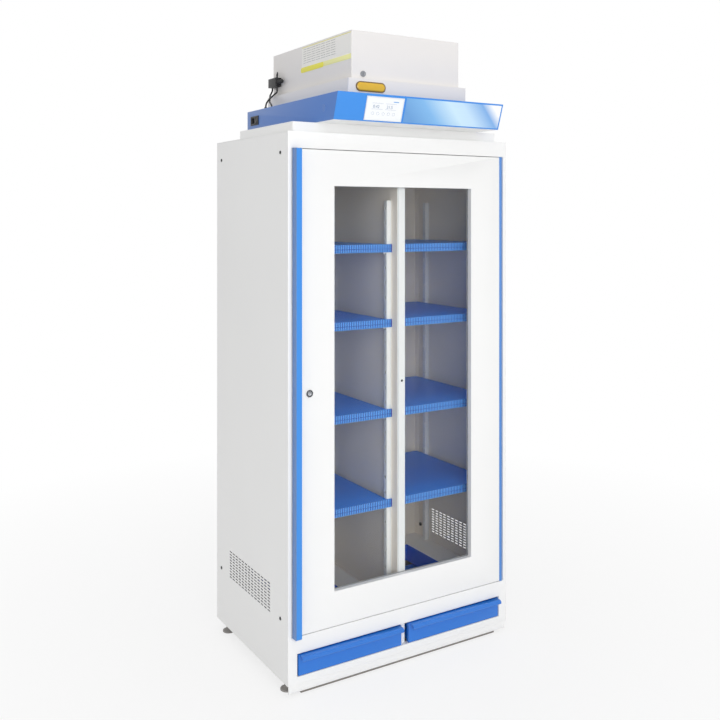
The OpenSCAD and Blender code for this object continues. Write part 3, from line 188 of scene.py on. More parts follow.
def maths(tree, operation, first, second=None, clamp=False):
    """A Math node's result; each operand is a number or an output socket."""
    made = node(tree, "Math", operation=operation, use_clamp=clamp)
    for i, operand in enumerate((first, second)):
        if isinstance(operand, bpy.types.NodeSocket):
            tree.links.new(operand, made.inputs[i])
        elif operand is not None:
            made.inputs[i].default_value = operand
    return made.outputs[0]


def blend(tree, factor, first, second, mode="MIX"):
    """A colour Mix node's result; each colour is three numbers or an output socket."""
    made = node(tree, "Mix", data_type="RGBA", blend_type=mode)
    for socket, value in ((0, factor), (6, first), (7, second)):
        if isinstance(value, bpy.types.NodeSocket):
            tree.links.new(value, made.inputs[socket])
        else:
            made.inputs[socket].default_value = (*value, 1) if socket else value
    return made.outputs[2]


def own_place(tree):
    return node(tree, "TexCoord").outputs["Object"]


def own_axes(tree):
    return node(tree, "SeparateXYZ", links={0: own_place(tree)}).outputs


def noise(tree, scale, detail, place, roughness=0.5):
    values = {"Scale": scale, "Detail": detail, "Roughness": roughness}
    return node(tree, "TexNoise", values, {"Vector": place}).outputs["Fac"]


def spread(tree, source, amount, middle):
    """A noise or mask of 0 to 1 turned into values that swing round a middle one."""
    swing = maths(tree, "MULTIPLY", maths(tree, "SUBTRACT", source, 0.5), amount)
    return maths(tree, "ADD", swing, middle)


def mottled(tree, colour, source, amount):
    """A colour made lighter and darker by a noise."""
    shade = spread(tree, source, amount, 1)
    tone = node(tree, "CombineColor", links={0: shade, 1: shade, 2: shade})
    return blend(tree, 1, colour, tone.outputs[0], "MULTIPLY")


def within(tree, *limits):
    """A mask that is 1 where every value lies between its low and its high limit."""
    mask = 1
    for value, low, high in limits:
        for test, edge in (("GREATER_THAN", low), ("LESS_THAN", high)):
            mask = maths(tree, "MULTIPLY", mask, maths(tree, test, value, edge))
    return mask


def ramp(tree, position, stops, interpolation="LINEAR"):
    """The colour at a position of 0 to 1 along a ramp whose first stop is at 0."""
    made = node(tree, "ValToRGB", links={0: position})
    made.color_ramp.interpolation = interpolation
    elements = made.color_ramp.elements
    elements.remove(elements[-1])
    for i, (place, colour) in enumerate(stops):
        stop = elements.new(place) if i else elements[0]
        stop.color = (*colour, 1)
    return made.outputs[0]


def hand_on(group, result, colour, rough, grain, depth, rounded, strength=1):
    """Feeds a surface group's results: a colour, a roughness, and a grain on rounded edges."""
    links = {"Height": grain, "Distance": depth, "Normal": rounded}
    bump = node(group, "Bump", {"Strength": strength}, links)
    for label, socket in (("Colour", colour), ("Roughness", rough), ("Normal", bump.outputs[0])):
        group.links.new(socket, result[label])
    return group


SURFACE = [("Colour", "Color"), ("Roughness", "Float"), ("Normal", "Vector")]


def build_coat_group(name):
    """Powder coat on sheet metal: fine grain, faint clouds, rounded edges, and edges made lighter partly by
    light wear and partly by a painted highlight.
    """
    group, given, result = make_group(name, [
        ("Paint", "Color", (0.8, 0.8, 0.8, 1)),
        ("Worn Edge", "Color", (0.9, 0.9, 0.9, 1)),
        ("Wear", "Float", 0.3),
        ("Clouds", "Float", 0.03),
        ("Grain Depth", "Float", 0.00003),
        ("Edge Radius", "Float", 0.001),
        ("Gloss", "Float", 0.36),
    ], SURFACE)
    place = own_place(group)
    grain = noise(group, 620, 2, place)
    clouds = noise(group, 3.2, 3, place)
    scuffs = noise(group, 45, 4, place)
    rounded = node(group, "Bevel", links={"Radius": given["Edge Radius"]}, samples=4).outputs[0]
    flat = node(group, "NewGeometry").outputs["True Normal"]
    turn = node(group, "VectorMath", links={0: rounded, 1: flat}, operation="DOT_PRODUCT")
    edge = maths(group, "MULTIPLY", maths(group, "SUBTRACT", 1, turn.outputs["Value"]), 5, clamp=True)
    # lighter edges: partly edge wear, partly a painted highlight on the rounded edges
    rubbed_and_lit_edge = maths(group, "MULTIPLY", maths(group, "MULTIPLY", edge, scuffs), given["Wear"], clamp=True)
    painted = mottled(group, given["Paint"], clouds, given["Clouds"])
    colour = blend(group, rubbed_and_lit_edge, painted, given["Worn Edge"])
    rough = spread(group, grain, 0.08, given["Gloss"])
    return hand_on(group, result, colour, rough, grain, given["Grain Depth"], rounded)


def build_brushed_group(name):
    """Brushed or rolled metal: long fine lines along X, with blotches in the gloss."""
    group, given, result = make_group(name, [
        ("Metal", "Color", (0.7, 0.7, 0.72, 1)),
        ("Line Depth", "Float", 0.00002),
        ("Edge Radius", "Float", 0.0006),
        ("Gloss", "Float", 0.3),
    ], SURFACE)
    place = own_place(group)
    stretched = node(group, "Mapping", {"Scale": (18, 700, 700)}, {"Vector": place})
    lines = noise(group, 1, 3, stretched.outputs[0])
    rounded = node(group, "Bevel", links={"Radius": given["Edge Radius"]}, samples=4).outputs[0]
    colour = mottled(group, given["Metal"], lines, 0.16)
    rough = spread(group, noise(group, 28, 4, place), 0.25, given["Gloss"])
    return hand_on(group, result, colour, rough, lines, given["Line Depth"], rounded)


def build_moulded_group(name):
    """Moulded plastic or rubber: an etched grain, and patches of paler dust."""
    group, given, result = make_group(name, [
        ("Base", "Color", (0.02, 0.02, 0.02, 1)),
        ("Dust", "Color", (0.3, 0.3, 0.3, 1)),
        ("Dustiness", "Float", 0.1),
        ("Grain Depth", "Float", 0.00008),
        ("Gloss", "Float", 0.5),
    ], SURFACE)
    place = own_place(group)
    etched = node(group, "TexVoronoi", {"Scale": 900}, {"Vector": place}).outputs["Distance"]
    dust = noise(group, 60, 5, place)
    rounded = node(group, "Bevel", {"Radius": 0.0006}, samples=4).outputs[0]
    amount = maths(group, "MULTIPLY", dust, given["Dustiness"], clamp=True)
    colour = blend(group, amount, given["Base"], given["Dust"])
    rough = spread(group, dust, 0.2, given["Gloss"])
    return hand_on(group, result, colour, rough, etched, given["Grain Depth"], rounded, 0.6)


def build_inside_group(name):
    """Masks that are 1 on the faces inside the two bays, which take a painted light tone, and on the cut
    walls of the side slots, which take painted shade.
    """
    group, _given, result = make_group(name, [], [("Inside", "Float"), ("Cut", "Float")])
    axes = own_axes(group)
    width = maths(group, "ABSOLUTE", axes["X"])
    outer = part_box("side_panel_right")[1].x
    inside = within(
        group,
        (width, -1, outer - IN_SHEET),
        (axes["Y"], BAY_FRONT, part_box("back_panel")[1].y - IN_SHEET),
        (axes["Z"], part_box("floor_panel")[1].z - IN_SHEET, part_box("roof_panel")[1].z - IN_SHEET),
    )
    (low_y, low_z), (high_y, high_z) = GRILLE
    # the slot walls' mask, where painted shade goes
    deep, shallow = SHADED_SLOT_WALL
    slot_shade = within(
        group,
        (width, outer - deep, outer - shallow), (axes["Y"], low_y, high_y), (axes["Z"], low_z, high_z),
    )
    group.links.new(inside, result["Inside"])
    group.links.new(slot_shade, result["Cut"])
    return group


def shared(name, build):
    """The shader group of that name, built the first time that it is asked for."""
    return bpy.data.node_groups.get(name) or build(name)


# ---------------------------------------------------------------- finishes


def plain_material(name, values=()):
    """A material with only its Principled shader, set to some values, and the tree that holds it."""
    material = bpy.data.materials.new(name)
    material.use_nodes = True
    tree = material.node_tree
    shader = tree.nodes["Principled BSDF"]
    for label, value in dict(values).items():
        shader.inputs[label].default_value = value
    return material, tree, shader


def grouped_material(name, group, paints, values, surface=()):
    """A Principled material whose colour, roughness and normal come from a shared group."""
    material, tree, shader = plain_material(name, surface)
    inputs = {label: (*paint, 1) for label, paint in paints.items()}
    inputs.update((key.replace("_", " ").title(), value) for key, value in values.items())
    source = node(tree, "Group", inputs, node_tree=group)
    for label, socket in (("Colour", "Base Color"), ("Roughness", "Roughness"), ("Normal", "Normal")):
        tree.links.new(source.outputs[label], shader.inputs[socket])
    material.diffuse_color = next(iter(inputs.values()))
    return material


def coated(name, paint, rubbed_and_lit_edge, **values):
    group = shared("Powder Coat", build_coat_group)
    return grouped_material(name, group, {"Paint": paint, "Worn Edge": rubbed_and_lit_edge}, values)


def brushed(name, metal, **values):
    group = shared("Brushed Metal", build_brushed_group)
    return grouped_material(name, group, {"Metal": metal}, values, {"Metallic": 1.0})


def moulded(name, base, dust, **values):
    group = shared("Moulded Grain", build_moulded_group)
    return grouped_material(name, group, {"Base": base, "Dust": dust}, values)


def painted_by(material, source):
    """Feeds a coated material's paint from a socket of its tree."""
    tree = material.node_tree
    coat = next(item for item in tree.nodes if item.type == "GROUP" and "Paint" in item.inputs)
    tree.links.new(source, coat.inputs["Paint"])
    return material


def casing_coat(name, paint, bay_light_tone, rubbed_and_lit_edge):
    """The casing's coat: white outside, a warmer painted light tone in the bays, and painted shade on the
    slots' cut walls.
    """
    material = coated(name, paint, rubbed_and_lit_edge, gloss=0.34, edge_radius=0.0014)
    tree = material.node_tree
    masks = node(tree, "Group", node_tree=shared("Inside Mask", build_inside_group)).outputs
    # painted light: the faces in the bays take the warmer bay tone
    tone = blend(tree, masks["Inside"], paint, bay_light_tone)
    # painted shade: the slots' cut walls get 0.12 of the paint
    return painted_by(material, blend(tree, masks["Cut"], tone, [c * 0.12 for c in paint]))


def coat_with_painted_side(name, near, far, rubbed_and_lit_edge, direction, limit):
    """A coat that changes from one paint to another past a plane across the piece; one of the two is a
    painted shade for the faces on its side.
    """
    material = coated(name, near, rubbed_and_lit_edge, gloss=0.30, wear=0.25, edge_radius=0.0012)
    tree = material.node_tree
    along = node(tree, "VectorMath", {1: direction}, {0: own_place(tree)}, operation="DOT_PRODUCT")
    past = maths(tree, "GREATER_THAN", along.outputs["Value"], limit)
    return painted_by(material, blend(tree, past, near, far))


def shelf_coat_painted_ribs(name, paint, rubbed_and_lit_edge):
    """The shelves' coat: a painted highlight along the fronts of the lip's ribs, and painted shade in the
    grooves between them.
    """
    material = coated(name, paint, rubbed_and_lit_edge, gloss=0.36, wear=0.5, edge_radius=0.0006)
    tree = material.node_tree
    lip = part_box("shelf_left_1")[0].y
    depth = node(tree, "MapRange", {1: lip, 2: lip + 0.004}, {0: own_axes(tree)["Y"]}).outputs[0]
    # painted highlight on the ribs' fronts, then painted shade in the grooves behind them
    stops = ((0.0, linear(0.40, 0.70, 0.98)), (0.16, linear(0.03, 0.24, 0.66)), (0.45, paint))
    return painted_by(material, ramp(tree, depth, stops, "CONSTANT"))


def mix_surface(tree, share, first, second):
    """Puts a mix of two shaders on a material's surface."""
    mixed = node(tree, "MixShader", links={0: share, 1: first.outputs[0], 2: second.outputs[0]})
    tree.links.new(mixed.outputs[0], tree.nodes["Material Output"].inputs["Surface"])


def window_glass(name):
    """Clear low-reflection sheet glass that lets the studio's light into the bays."""
    material, tree, shader = plain_material(name, {
        "Base Color": (0.97, 0.98, 0.98, 1), "Roughness": 0.0, "IOR": 1.2, "Transmission Weight": 1.0,
    })
    ray = node(tree, "LightPath").outputs
    through = maths(tree, "MAXIMUM", ray["Is Shadow Ray"], ray["Is Diffuse Ray"])
    mix_surface(tree, through, shader, node(tree, "BsdfTransparent", {"Color": (0.95, 0.96, 0.96, 1)}))
    return material


def overlay_film(name):
    """The printed film beside the display: a pale sheen between two blues, and a white far end."""
    material, tree, shader = plain_material(name, {"Specular IOR Level": 0.2})
    low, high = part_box("control_overlay")
    axes = own_axes(tree)
    share = node(tree, "MapRange", {1: low.x, 2: high.x}, {0: axes["X"]})
    lift = node(tree, "MapRange", {1: low.z, 2: high.z, 3: -0.10, 4: 0.10}, {0: axes["Z"]})
    slanted = maths(tree, "ADD", share.outputs[0], lift.outputs[0])
    sheen = ramp(tree, slanted, [(position, linear(*shown)) for position, shown in (
        (0.0, (0.43, 0.63, 0.85)), (0.25, (0.52, 0.73, 0.92)), (0.52, (0.80, 0.91, 0.98)),
        (0.66, (0.78, 0.89, 0.98)), (0.88, (0.52, 0.70, 0.91)), (1.0, (1.0, 1.0, 1.0)),
    )])
    drawn = node(tree, "Mapping", {"Scale": (6, 900, 900)}, {"Vector": own_place(tree)})
    streaks = noise(tree, 1, 2, drawn.outputs[0])
    tree.links.new(mottled(tree, sheen, streaks, 0.06), shader.inputs["Base Color"])
    tree.links.new(spread(tree, streaks, 0.12, 0.48), shader.inputs["Roughness"])
    return material


def filter_fleece(name):
    """Pleated filter media: soft fibres over a dark core."""
    material, tree, shader = plain_material(name, {"Roughness": 0.95})
    fibres = noise(tree, 240, 6, own_place(tree), 0.7)
    shade = ramp(tree, fibres, ((0.0, linear(0.16, 0.16, 0.17)), (1.0, linear(0.40, 0.40, 0.41))))
    bump = node(tree, "Bump", {"Strength": 0.7, "Distance": 0.0006}, {"Height": fibres})
    tree.links.new(shade, shader.inputs["Base Color"])
    tree.links.new(bump.outputs[0], shader.inputs["Normal"])
    return material


def printed_card(name, shown, gloss):
    """A plain printed card or film, with the faint mottle of its print."""
    material, tree, shader = plain_material(name, {"Roughness": gloss})
    colour = mottled(tree, shown, noise(tree, 320, 3, own_place(tree)), 0.05)
    tree.links.new(colour, shader.inputs["Base Color"])
    return material


def ruled_card(name):
    """A blank record card: cream, with faint ruled rows and a thin yellow border."""
    material = printed_card(name, linear(0.945, 0.94, 0.92), 0.4)
    tree = material.node_tree
    colour = tree.nodes["Principled BSDF"].inputs["Base Color"]
    card = colour.links[0].from_socket
    low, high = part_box("filter_cover")
    axes = own_axes(tree)
    rows = maths(tree, "FRACT", maths(tree, "DIVIDE", axes["Z"], 0.0072))
    cells = maths(tree, "FRACT", maths(tree, "DIVIDE", axes["Y"], 0.031))
    lines = within(
        tree, (rows, -1, 0.16), (cells, 0.12, 2),
        (axes["Y"], low.y + 0.090, low.y + 0.300), (axes["Z"], high.z - 0.062, high.z - 0.012),
    )
    ruled = blend(tree, maths(tree, "MULTIPLY", lines, 0.75), card, linear(0.16, 0.17, 0.20))
    border = maths(tree, "GREATER_THAN", axes["Z"], high.z - 0.0072)
    tree.links.new(blend(tree, border, ruled, linear(0.90, 0.87, 0.45)), colour)
    return material


def domed_badge(name):
    """A cast badge: yellow in the middle, with painted shade that turns it browner towards its rolled rim.
    """
    material, tree, shader = plain_material(name, {"Coat Weight": 0.6})
    rim = node(tree, "LayerWeight", {"Blend": 0.35}).outputs["Facing"]
    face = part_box("filter_frame")[0].y - BADGE_DEPTH
    height = node(tree, "MapRange", {1: face, 2: face - 0.0012}, {0: own_axes(tree)["Y"]})
    # painted shade: the lower parts, towards the rim, blend to brown
    gold_with_painted_rim_shade = blend(tree, height.outputs[0], linear(0.42, 0.31, 0.05), colours().badge)
    body = mottled(tree, gold_with_painted_rim_shade, noise(tree, 90, 3, own_place(tree)), 0.10)
    tree.links.new(body, shader.inputs["Base Color"])
    tree.links.new(spread(tree, rim, 0.1, 0.23), shader.inputs["Roughness"])
    return material


def seen_straight(tree):
    """1 for a ray from the camera, and for one that gloss or glass sends on."""
    ray = node(tree, "LightPath").outputs
    seen = maths(tree, "MAXIMUM", ray["Is Camera Ray"], ray["Is Glossy Ray"])
    return maths(tree, "MAXIMUM", seen, ray["Is Transmission Ray"])


def make_finishes():
    """Every finish of the cabinet by the name of what it covers."""
    c = colours()
    # lighter colours for the edges: partly wear, partly a painted edge highlight
    pale = linear(0.99, 0.99, 0.985)
    light_blue = linear(0.55, 0.75, 0.98)
    off_face = Vector((0, math.cos(FACE_LEAN), math.sin(FACE_LEAN)))
    behind_face = off_face.dot(FACE_FOOT) + 0.003
    grip_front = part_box("door_grip")[0].x + 0.001
    return {
        "casing": casing_coat("casing_white", c.casing, c.inside, pale),
        "door": coated("door_white", c.casing, pale, gloss=0.34, edge_radius=0.0014),
        # painted light: the floor's paint is lifted to stand in for light in the bays
        "floor": coated("floor_white", c.floor, pale, clouds=0.05, gloss=0.42),
        "filter": coated("filter_white", c.filter_case, pale, gloss=0.38, edge_radius=0.0014),
        "hinge": coated("hinge_blue", linear(0.31, 0.535, 0.82), light_blue, gloss=0.30, edge_radius=0.0012),
        # painted shade: faces more than 3 mm behind the fan box's front take the duller blue
        "fan": coat_with_painted_side("fan_blue", c.trim, c.trim_side_shade, light_blue, off_face, behind_face),
        # painted shade: the grip's left face, up to 1 mm in from it, is a greyer blue than the front
        "grip": coat_with_painted_side(
            "grip_blue", linear(0.38, 0.53, 0.76), c.trim, light_blue, (1, 0, 0), grip_front
        ),
        "shelf": shelf_coat_painted_ribs("shelf_blue", c.shelf, light_blue),
        "drawer": coated("drawer_blue", c.drawer, light_blue, gloss=0.24, wear=0.35),
        "chute": coated("chute_blue", linear(0.06, 0.42, 0.93), light_blue, gloss=0.40, wear=0.35),
        "rail": coated("rail_grey", c.rail, grey(0.6), gloss=0.55, clouds=0.2),
        "bolt": moulded("bolt_black", linear(0.05, 0.05, 0.06), grey(0.3), dustiness=0.05, gloss=0.4),
        "zinc": brushed("zinc_steel", linear(0.78, 0.79, 0.81), gloss=0.34),
        "lock": brushed("lock_chrome", linear(0.78, 0.79, 0.81), gloss=0.20, line_depth=0.000008),
        "lock_ring": brushed("lock_ring_chrome", linear(0.36, 0.37, 0.39), gloss=0.26, line_depth=0.000008),
        "dull_lock": brushed("lock_zinc", linear(0.58, 0.59, 0.61), gloss=0.32, line_depth=0.000008),
        "pad": moulded("pad_rubber", linear(0.58, 0.565, 0.55), grey(0.7), dustiness=0.25, gloss=0.7),
        "seal": moulded("seal_rubber", linear(0.66, 0.67, 0.68), grey(0.8), gloss=0.6),
        "black": moulded("black_plastic", linear(0.055, 0.055, 0.07), grey(0.4), dustiness=0.05, gloss=0.42),
        "impeller": moulded("impeller_plastic", linear(0.60, 0.62, 0.65), grey(0.8), gloss=0.45),
        "bezel": moulded("bezel_plastic", linear(0.90, 0.91, 0.92), grey(0.95), gloss=0.3),
        "glass": window_glass("window_glass"),
        "film": overlay_film("overlay_film"),
        "fleece": filter_fleece("filter_fleece"),
        "card": ruled_card("label_card"),
        "yellow": printed_card("label_yellow", c.label, 0.4),
        "strip": printed_card("label_pale_yellow", linear(0.955, 0.95, 0.66), 0.4),
        "tag": printed_card("screen_blue", linear(0.42, 0.66, 0.90), 0.3),
        "badge": domed_badge("badge_yellow"),
        "screen": printed_card("screen_white", linear(0.955, 0.965, 0.975), 0.12),
        "ink": printed_card("screen_ink", linear(0.45, 0.55, 0.68), 0.3),
    }


FINISH_OF_NODE = {
    "casing": [
        "front_frame", "side_panel_left", "side_panel_right", "back_panel", "roof_panel", "base_plate",
        "drawer_divider", "centre_partition", "riser_plenum", "fan_box_base",
    ],
    "door": ["door_frame", "door_back", "shelf_uprights", "plinth_skirt"],
    "floor": ["floor_panel"],
    "rail": ["base_rails"],
    "filter": ["filter_frame", "filter_cover"],
    "hinge": ["hinge_profile"],
    "fan": ["fan_box_cover"],
    "grip": ["door_grip"],
    "shelf": [f"shelf_{side}_{level}" for side in ("left", "right") for level in (1, 2, 3, 4)],
    "drawer": [f"drawer_{side}_{part}" for side in ("left", "right") for part in ("front", "tray")],
    "chute": ["floor_chutes"],
    "zinc": [
        "foot_studs", "shelf_clips", "drawer_runners", "panel_screws", "fan_bracket", "inlet_ring",
        "hinge_pins", "lock_cam",
    ],
    "lock": ["lock_plug"],
    "lock_ring": ["lock_case"],
    "dull_lock": ["filter_lock_case", "filter_lock_plug"],
    "pad": ["foot_pads"],
    "seal": ["pane_gasket", "door_seal", "filter_gasket"],
    "glass": ["door_pane"],
    "black": ["power_inlet", "power_rocker", "fan_motor", "sensor_plug", "sensor_leads"],
    "impeller": ["fan_impeller"],
    "fleece": ["filter_block"],
    "bezel": ["display_panel"],
    "film": ["control_overlay"],
}


def give_finish(piece, name):
    piece.data.materials.clear()
    piece.data.materials.append(FINISHES[name])


# Routes of the sensor leads in millimetres, from the plug's lower rear corner
LEAD_A = (
    (-11, -10, 0), (-11, -10, -8), (-15, -13, -15), (-21, -19, -22), (-28, -27, -29), (-33, -36, -37),
    (-38, -45, -45), (-43, -54, -52), (-47, -64, -57), (-50, -74, -61), (-53, -84, -64), (-56, -93, -67),
    (-57, -99, -72), (-57, -101, -79), (-57, -101, -88), (-57, -101, -97),
)
LEAD_B = (
    (-11, -46, -12), (-12, -46, -18), (-17, -47, -23), (-24, -49, -28), (-32, -52, -34), (-40, -56, -40),
    (-47, -60, -46), (-54, -65, -52), (-60, -70, -58), (-65, -75, -64), (-68, -78, -71), (-69, -79, -79),
    (-69, -79, -88), (-69, -79, -97),
)


# ---------------------------------------------------------------- modelling helpers


def only(piece):
    """Makes one object the whole selection and the active object."""
    bpy.ops.object.select_all(action="DESELECT")
    piece.select_set(True)
    bpy.context.view_layer.objects.active = piece
    return piece


def at(x, y, z):
    """A point given in millimetres from the middle, from the front face and from the ground."""
    return Vector((x / 1000, FRONT + y / 1000, z / 1000))


def settle(piece):
    """Moves an object's place, turn and scale into its mesh."""
    only(piece)
    bpy.ops.object.transform_apply(location=True, rotation=True, scale=True)
    return piece


def claim(name):
    """Names the active object and its mesh, and settles it."""
    piece = bpy.context.active_object
    piece.name = piece.data.name = name
    return settle(piece)


def add_block(name, low, high):
    """A block between two corners, with its place in its mesh."""
    low, high = Vector(low), Vector(high)
    bpy.ops.mesh.primitive_cube_add(size=1, location=(low + high) / 2, scale=high - low)
    return claim(name)


def set_mode(mode):
    bpy.ops.object.mode_set(mode=mode)


def extrude(x, y, z):
    """In edit mode, draws the selected faces out."""
    bpy.ops.mesh.extrude_region_move(TRANSFORM_OT_translate={"value": (x, y, z)})


def choose(piece, kind, test):
    """In edit mode, selects the vertices, edges or faces that pass a test."""
    bpy.ops.mesh.select_mode(type={"verts": "VERT", "edges": "EDGE", "faces": "FACE"}[kind])
    bpy.ops.mesh.select_all(action="DESELECT")
    mesh = bmesh.from_edit_mesh(piece.data)
    for element in getattr(mesh, kind):
        if test(element):
            element.select_set(True)
    mesh.select_flush_mode()
    bmesh.update_edit_mesh(piece.data)


def sharp(edge, least=math.radians(35)):
    return len(edge.link_faces) == 2 and edge.calc_face_angle() > least


def running(axis, least):
    """A test that picks the edges that run some way along an axis."""
    return lambda edge: abs(edge.verts[0].co[axis] - edge.verts[1].co[axis]) > least


def round_edges(piece, width, segments=2, test=sharp):
    """Rounds the chosen edges of a piece and shades it smooth by angle."""
    only(piece)
    set_mode("EDIT")
    choose(piece, "edges", test)
    bpy.ops.mesh.bevel(offset=width, segments=segments, profile=0.5, clamp_overlap=True)
    set_mode("OBJECT")
    bpy.ops.object.shade_smooth_by_angle(angle=math.radians(30))
    return piece


def rounded_copy(name, cad_node, width, segments=2, shortest=0.0, body="cabinet"):
    """Stands in for a node: a copy with its triangles merged and its longer sharp edges rounded."""
    only(NODES[cad_node])
    bpy.ops.object.duplicate()
    piece = bpy.context.active_object
    piece.name = piece.data.name = name
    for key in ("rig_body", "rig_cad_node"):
        del piece[key]
    piece.parent = None
    only(piece)
    set_mode("EDIT")
    bpy.ops.mesh.select_all(action="SELECT")
    bpy.ops.mesh.remove_doubles(threshold=0.00001)
    bpy.ops.mesh.dissolve_limited(angle_limit=math.radians(0.5))
    set_mode("OBJECT")
    round_edges(piece, width, segments, lambda e: sharp(e) and e.calc_length() > shortest)
    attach(piece, body)
    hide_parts(cad_node)


def finish_piece(piece, finish, stands_for=None):
    """Gives a made piece its finish and the cabinet as its body, and hides the node that it stands for."""
    give_finish(piece, finish)
    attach(piece, "cabinet")
    if stands_for:
        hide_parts(stands_for)


def add_pill(name, low, high, rim, domes):
    """A rounded bar that faces -Y between two corners: a flat rim, then domes of (inset, rise)."""
    low, high = Vector(low), Vector(high)
    radius = (high.z - low.z) / 2
    bpy.ops.mesh.primitive_circle_add(
        vertices=32, radius=radius, fill_type="NGON", rotation=(math.radians(90), 0, 0),
        location=(low.x + radius, high.y, (low.z + high.z) / 2),
    )
    piece = claim(name)
    set_mode("EDIT")
    choose(piece, "verts", lambda v: v.co.x > low.x + radius)
    bpy.ops.transform.translate(value=(high.x - low.x - 2 * radius, 0, 0))
    bpy.ops.mesh.select_mode(type="FACE")
    bpy.ops.mesh.select_all(action="SELECT")
    extrude(0, low.y - high.y, 0)
    bpy.ops.mesh.inset(thickness=rim, depth=0)
    for inset, rise in domes:
        bpy.ops.mesh.inset(thickness=inset, depth=0)
        bpy.ops.transform.translate(value=(0, -rise, 0))
    set_mode("OBJECT")
    return outward(piece)


def outward(piece):
    """Merges a piece's doubles and turns its faces outwards."""
    only(piece)
    set_mode("EDIT")
    bpy.ops.mesh.select_all(action="SELECT")
    bpy.ops.mesh.remove_doubles(threshold=0.000002)
    bpy.ops.mesh.normals_make_consistent(inside=False)
    set_mode("OBJECT")
    bpy.ops.object.shade_smooth_by_angle(angle=math.radians(30))
    return piece


def add_turned(name, profile, sides=32):
    """A piece turned about Z from (radius, height) points in millimetres, the first and last on it."""
    profile = [(radius / 1000, height / 1000) for radius, height in profile]
    radius, height = profile[1]
    bpy.ops.mesh.primitive_circle_add(
        vertices=sides, radius=radius, fill_type="NGON", location=(0, 0, height)
    )
    piece = claim(name)
    set_mode("EDIT")
    bpy.ops.mesh.select_mode(type="FACE")
    bpy.ops.mesh.select_all(action="SELECT")
    for wide, high in profile[2:-1]:
        extrude(0, 0, high - height)
        share = wide / radius
        bpy.ops.transform.resize(value=(share, share, 1), center_override=(0, 0, high))
        radius, height = wide, high
    set_mode("OBJECT")
    return outward(piece)


def stand(piece, place, turn=(0, 0, 0)):
    """Turns a piece that was made at the origin, puts it in its place and settles it."""
    piece.rotation_euler = [math.radians(angle) for angle in turn]
    piece.location = place
    return settle(piece)


def placed_copy(piece, place, turn):
    """A copy with its own mesh, turned and put in its place."""
    only(piece)
    bpy.ops.object.duplicate()
    return stand(bpy.context.active_object, place, turn)


def joined(name, pieces):
    """Several meshes made one piece."""
    bpy.ops.object.select_all(action="DESELECT")
    for piece in pieces:
        piece.select_set(True)
    bpy.context.view_layer.objects.active = pieces[0]
    bpy.ops.object.join()
    return claim(name)


def on_face(piece):
    """Puts a piece drawn before the XZ plane on the fan box's leaning front."""
    return stand(piece, FACE_FOOT, (math.degrees(FACE_LEAN), 0, 0))


def add_figures(name, text, height, place):
    """Plain figures that face -Y, made a mesh before they are placed."""
    bpy.ops.object.text_add()
    piece = bpy.context.active_object
    piece.data.body = text
    piece.data.size = height
    piece.data.extrude = 0.00008
    bpy.ops.object.convert(target="MESH")
    return stand(claim(name), place, (90, 0, 0))


# ---------------------------------------------------------------- operators


class CABINET_OT_finishes(bpy.types.Operator):
    """Coat every node of the frame with its finish"""

    bl_idname = "cabinet.finishes"
    bl_label = "Finishes"

    def execute(self, context):
        FINISHES.update(make_finishes())
        for finish, names in FINISH_OF_NODE.items():
            for name in names:
                give_finish(NODES[name], finish)
        return {"FINISHED"}


class CABINET_OT_casing(bpy.types.Operator):
    """Round the folds of the casing, the plinth and the plenum"""

    bl_idname = "cabinet.casing"
    bl_label = "Casing"

    def execute(self, context):
        fold, edge = sizes().fold_radius, sizes().edge_radius
        rounded_copy("front_frame_folds", "front_frame", fold, 3, 0.05)
        rounded_copy("riser_folds", "riser_plenum", fold, 3, 0.05)
        rounded_copy("skirt_folds", "plinth_skirt", edge, 2, 0.05)
        rounded_copy("back_panel_folds", "back_panel", fold, 3, 0.03)
        rounded_copy("roof_folds", "roof_panel", edge, 2, 0.05)
        rounded_copy("foot_rail_folds", "base_rails", fold, 3, 0.02)
        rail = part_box("base_rails")
        near, low, thick = FRONT + 0.0085, 0.0008, 0.0016
        lip = add_block("foot_rail_lip", (rail[0].x, near, low), (rail[1].x, rail[0].y, low + thick))
        set_mode("EDIT")
        choose(lip, "faces", lambda f: f.normal.y < -0.9)
        extrude(0, -thick, 0)
        choose(lip, "faces", lambda f: f.normal.z > 0.9 and f.calc_center_median().y < near)
        extrude(0, 0, 0.0054)
        set_mode("OBJECT")
        round_edges(outward(lip), edge, 2)
        finish_piece(lip, "rail")
        return {"FINISHED"}


class CABINET_OT_feet(bpy.types.Operator):
    """Soften the levelling pads and the nuts above them"""

    bl_idname = "cabinet.feet"
    bl_label = "Feet"

    def execute(self, context):
        rounded_copy("foot_pads_soft", "foot_pads", 0.0009, 3)
        rounded_copy("foot_nuts", "foot_studs", sizes().edge_radius, 2)
        return {"FINISHED"}


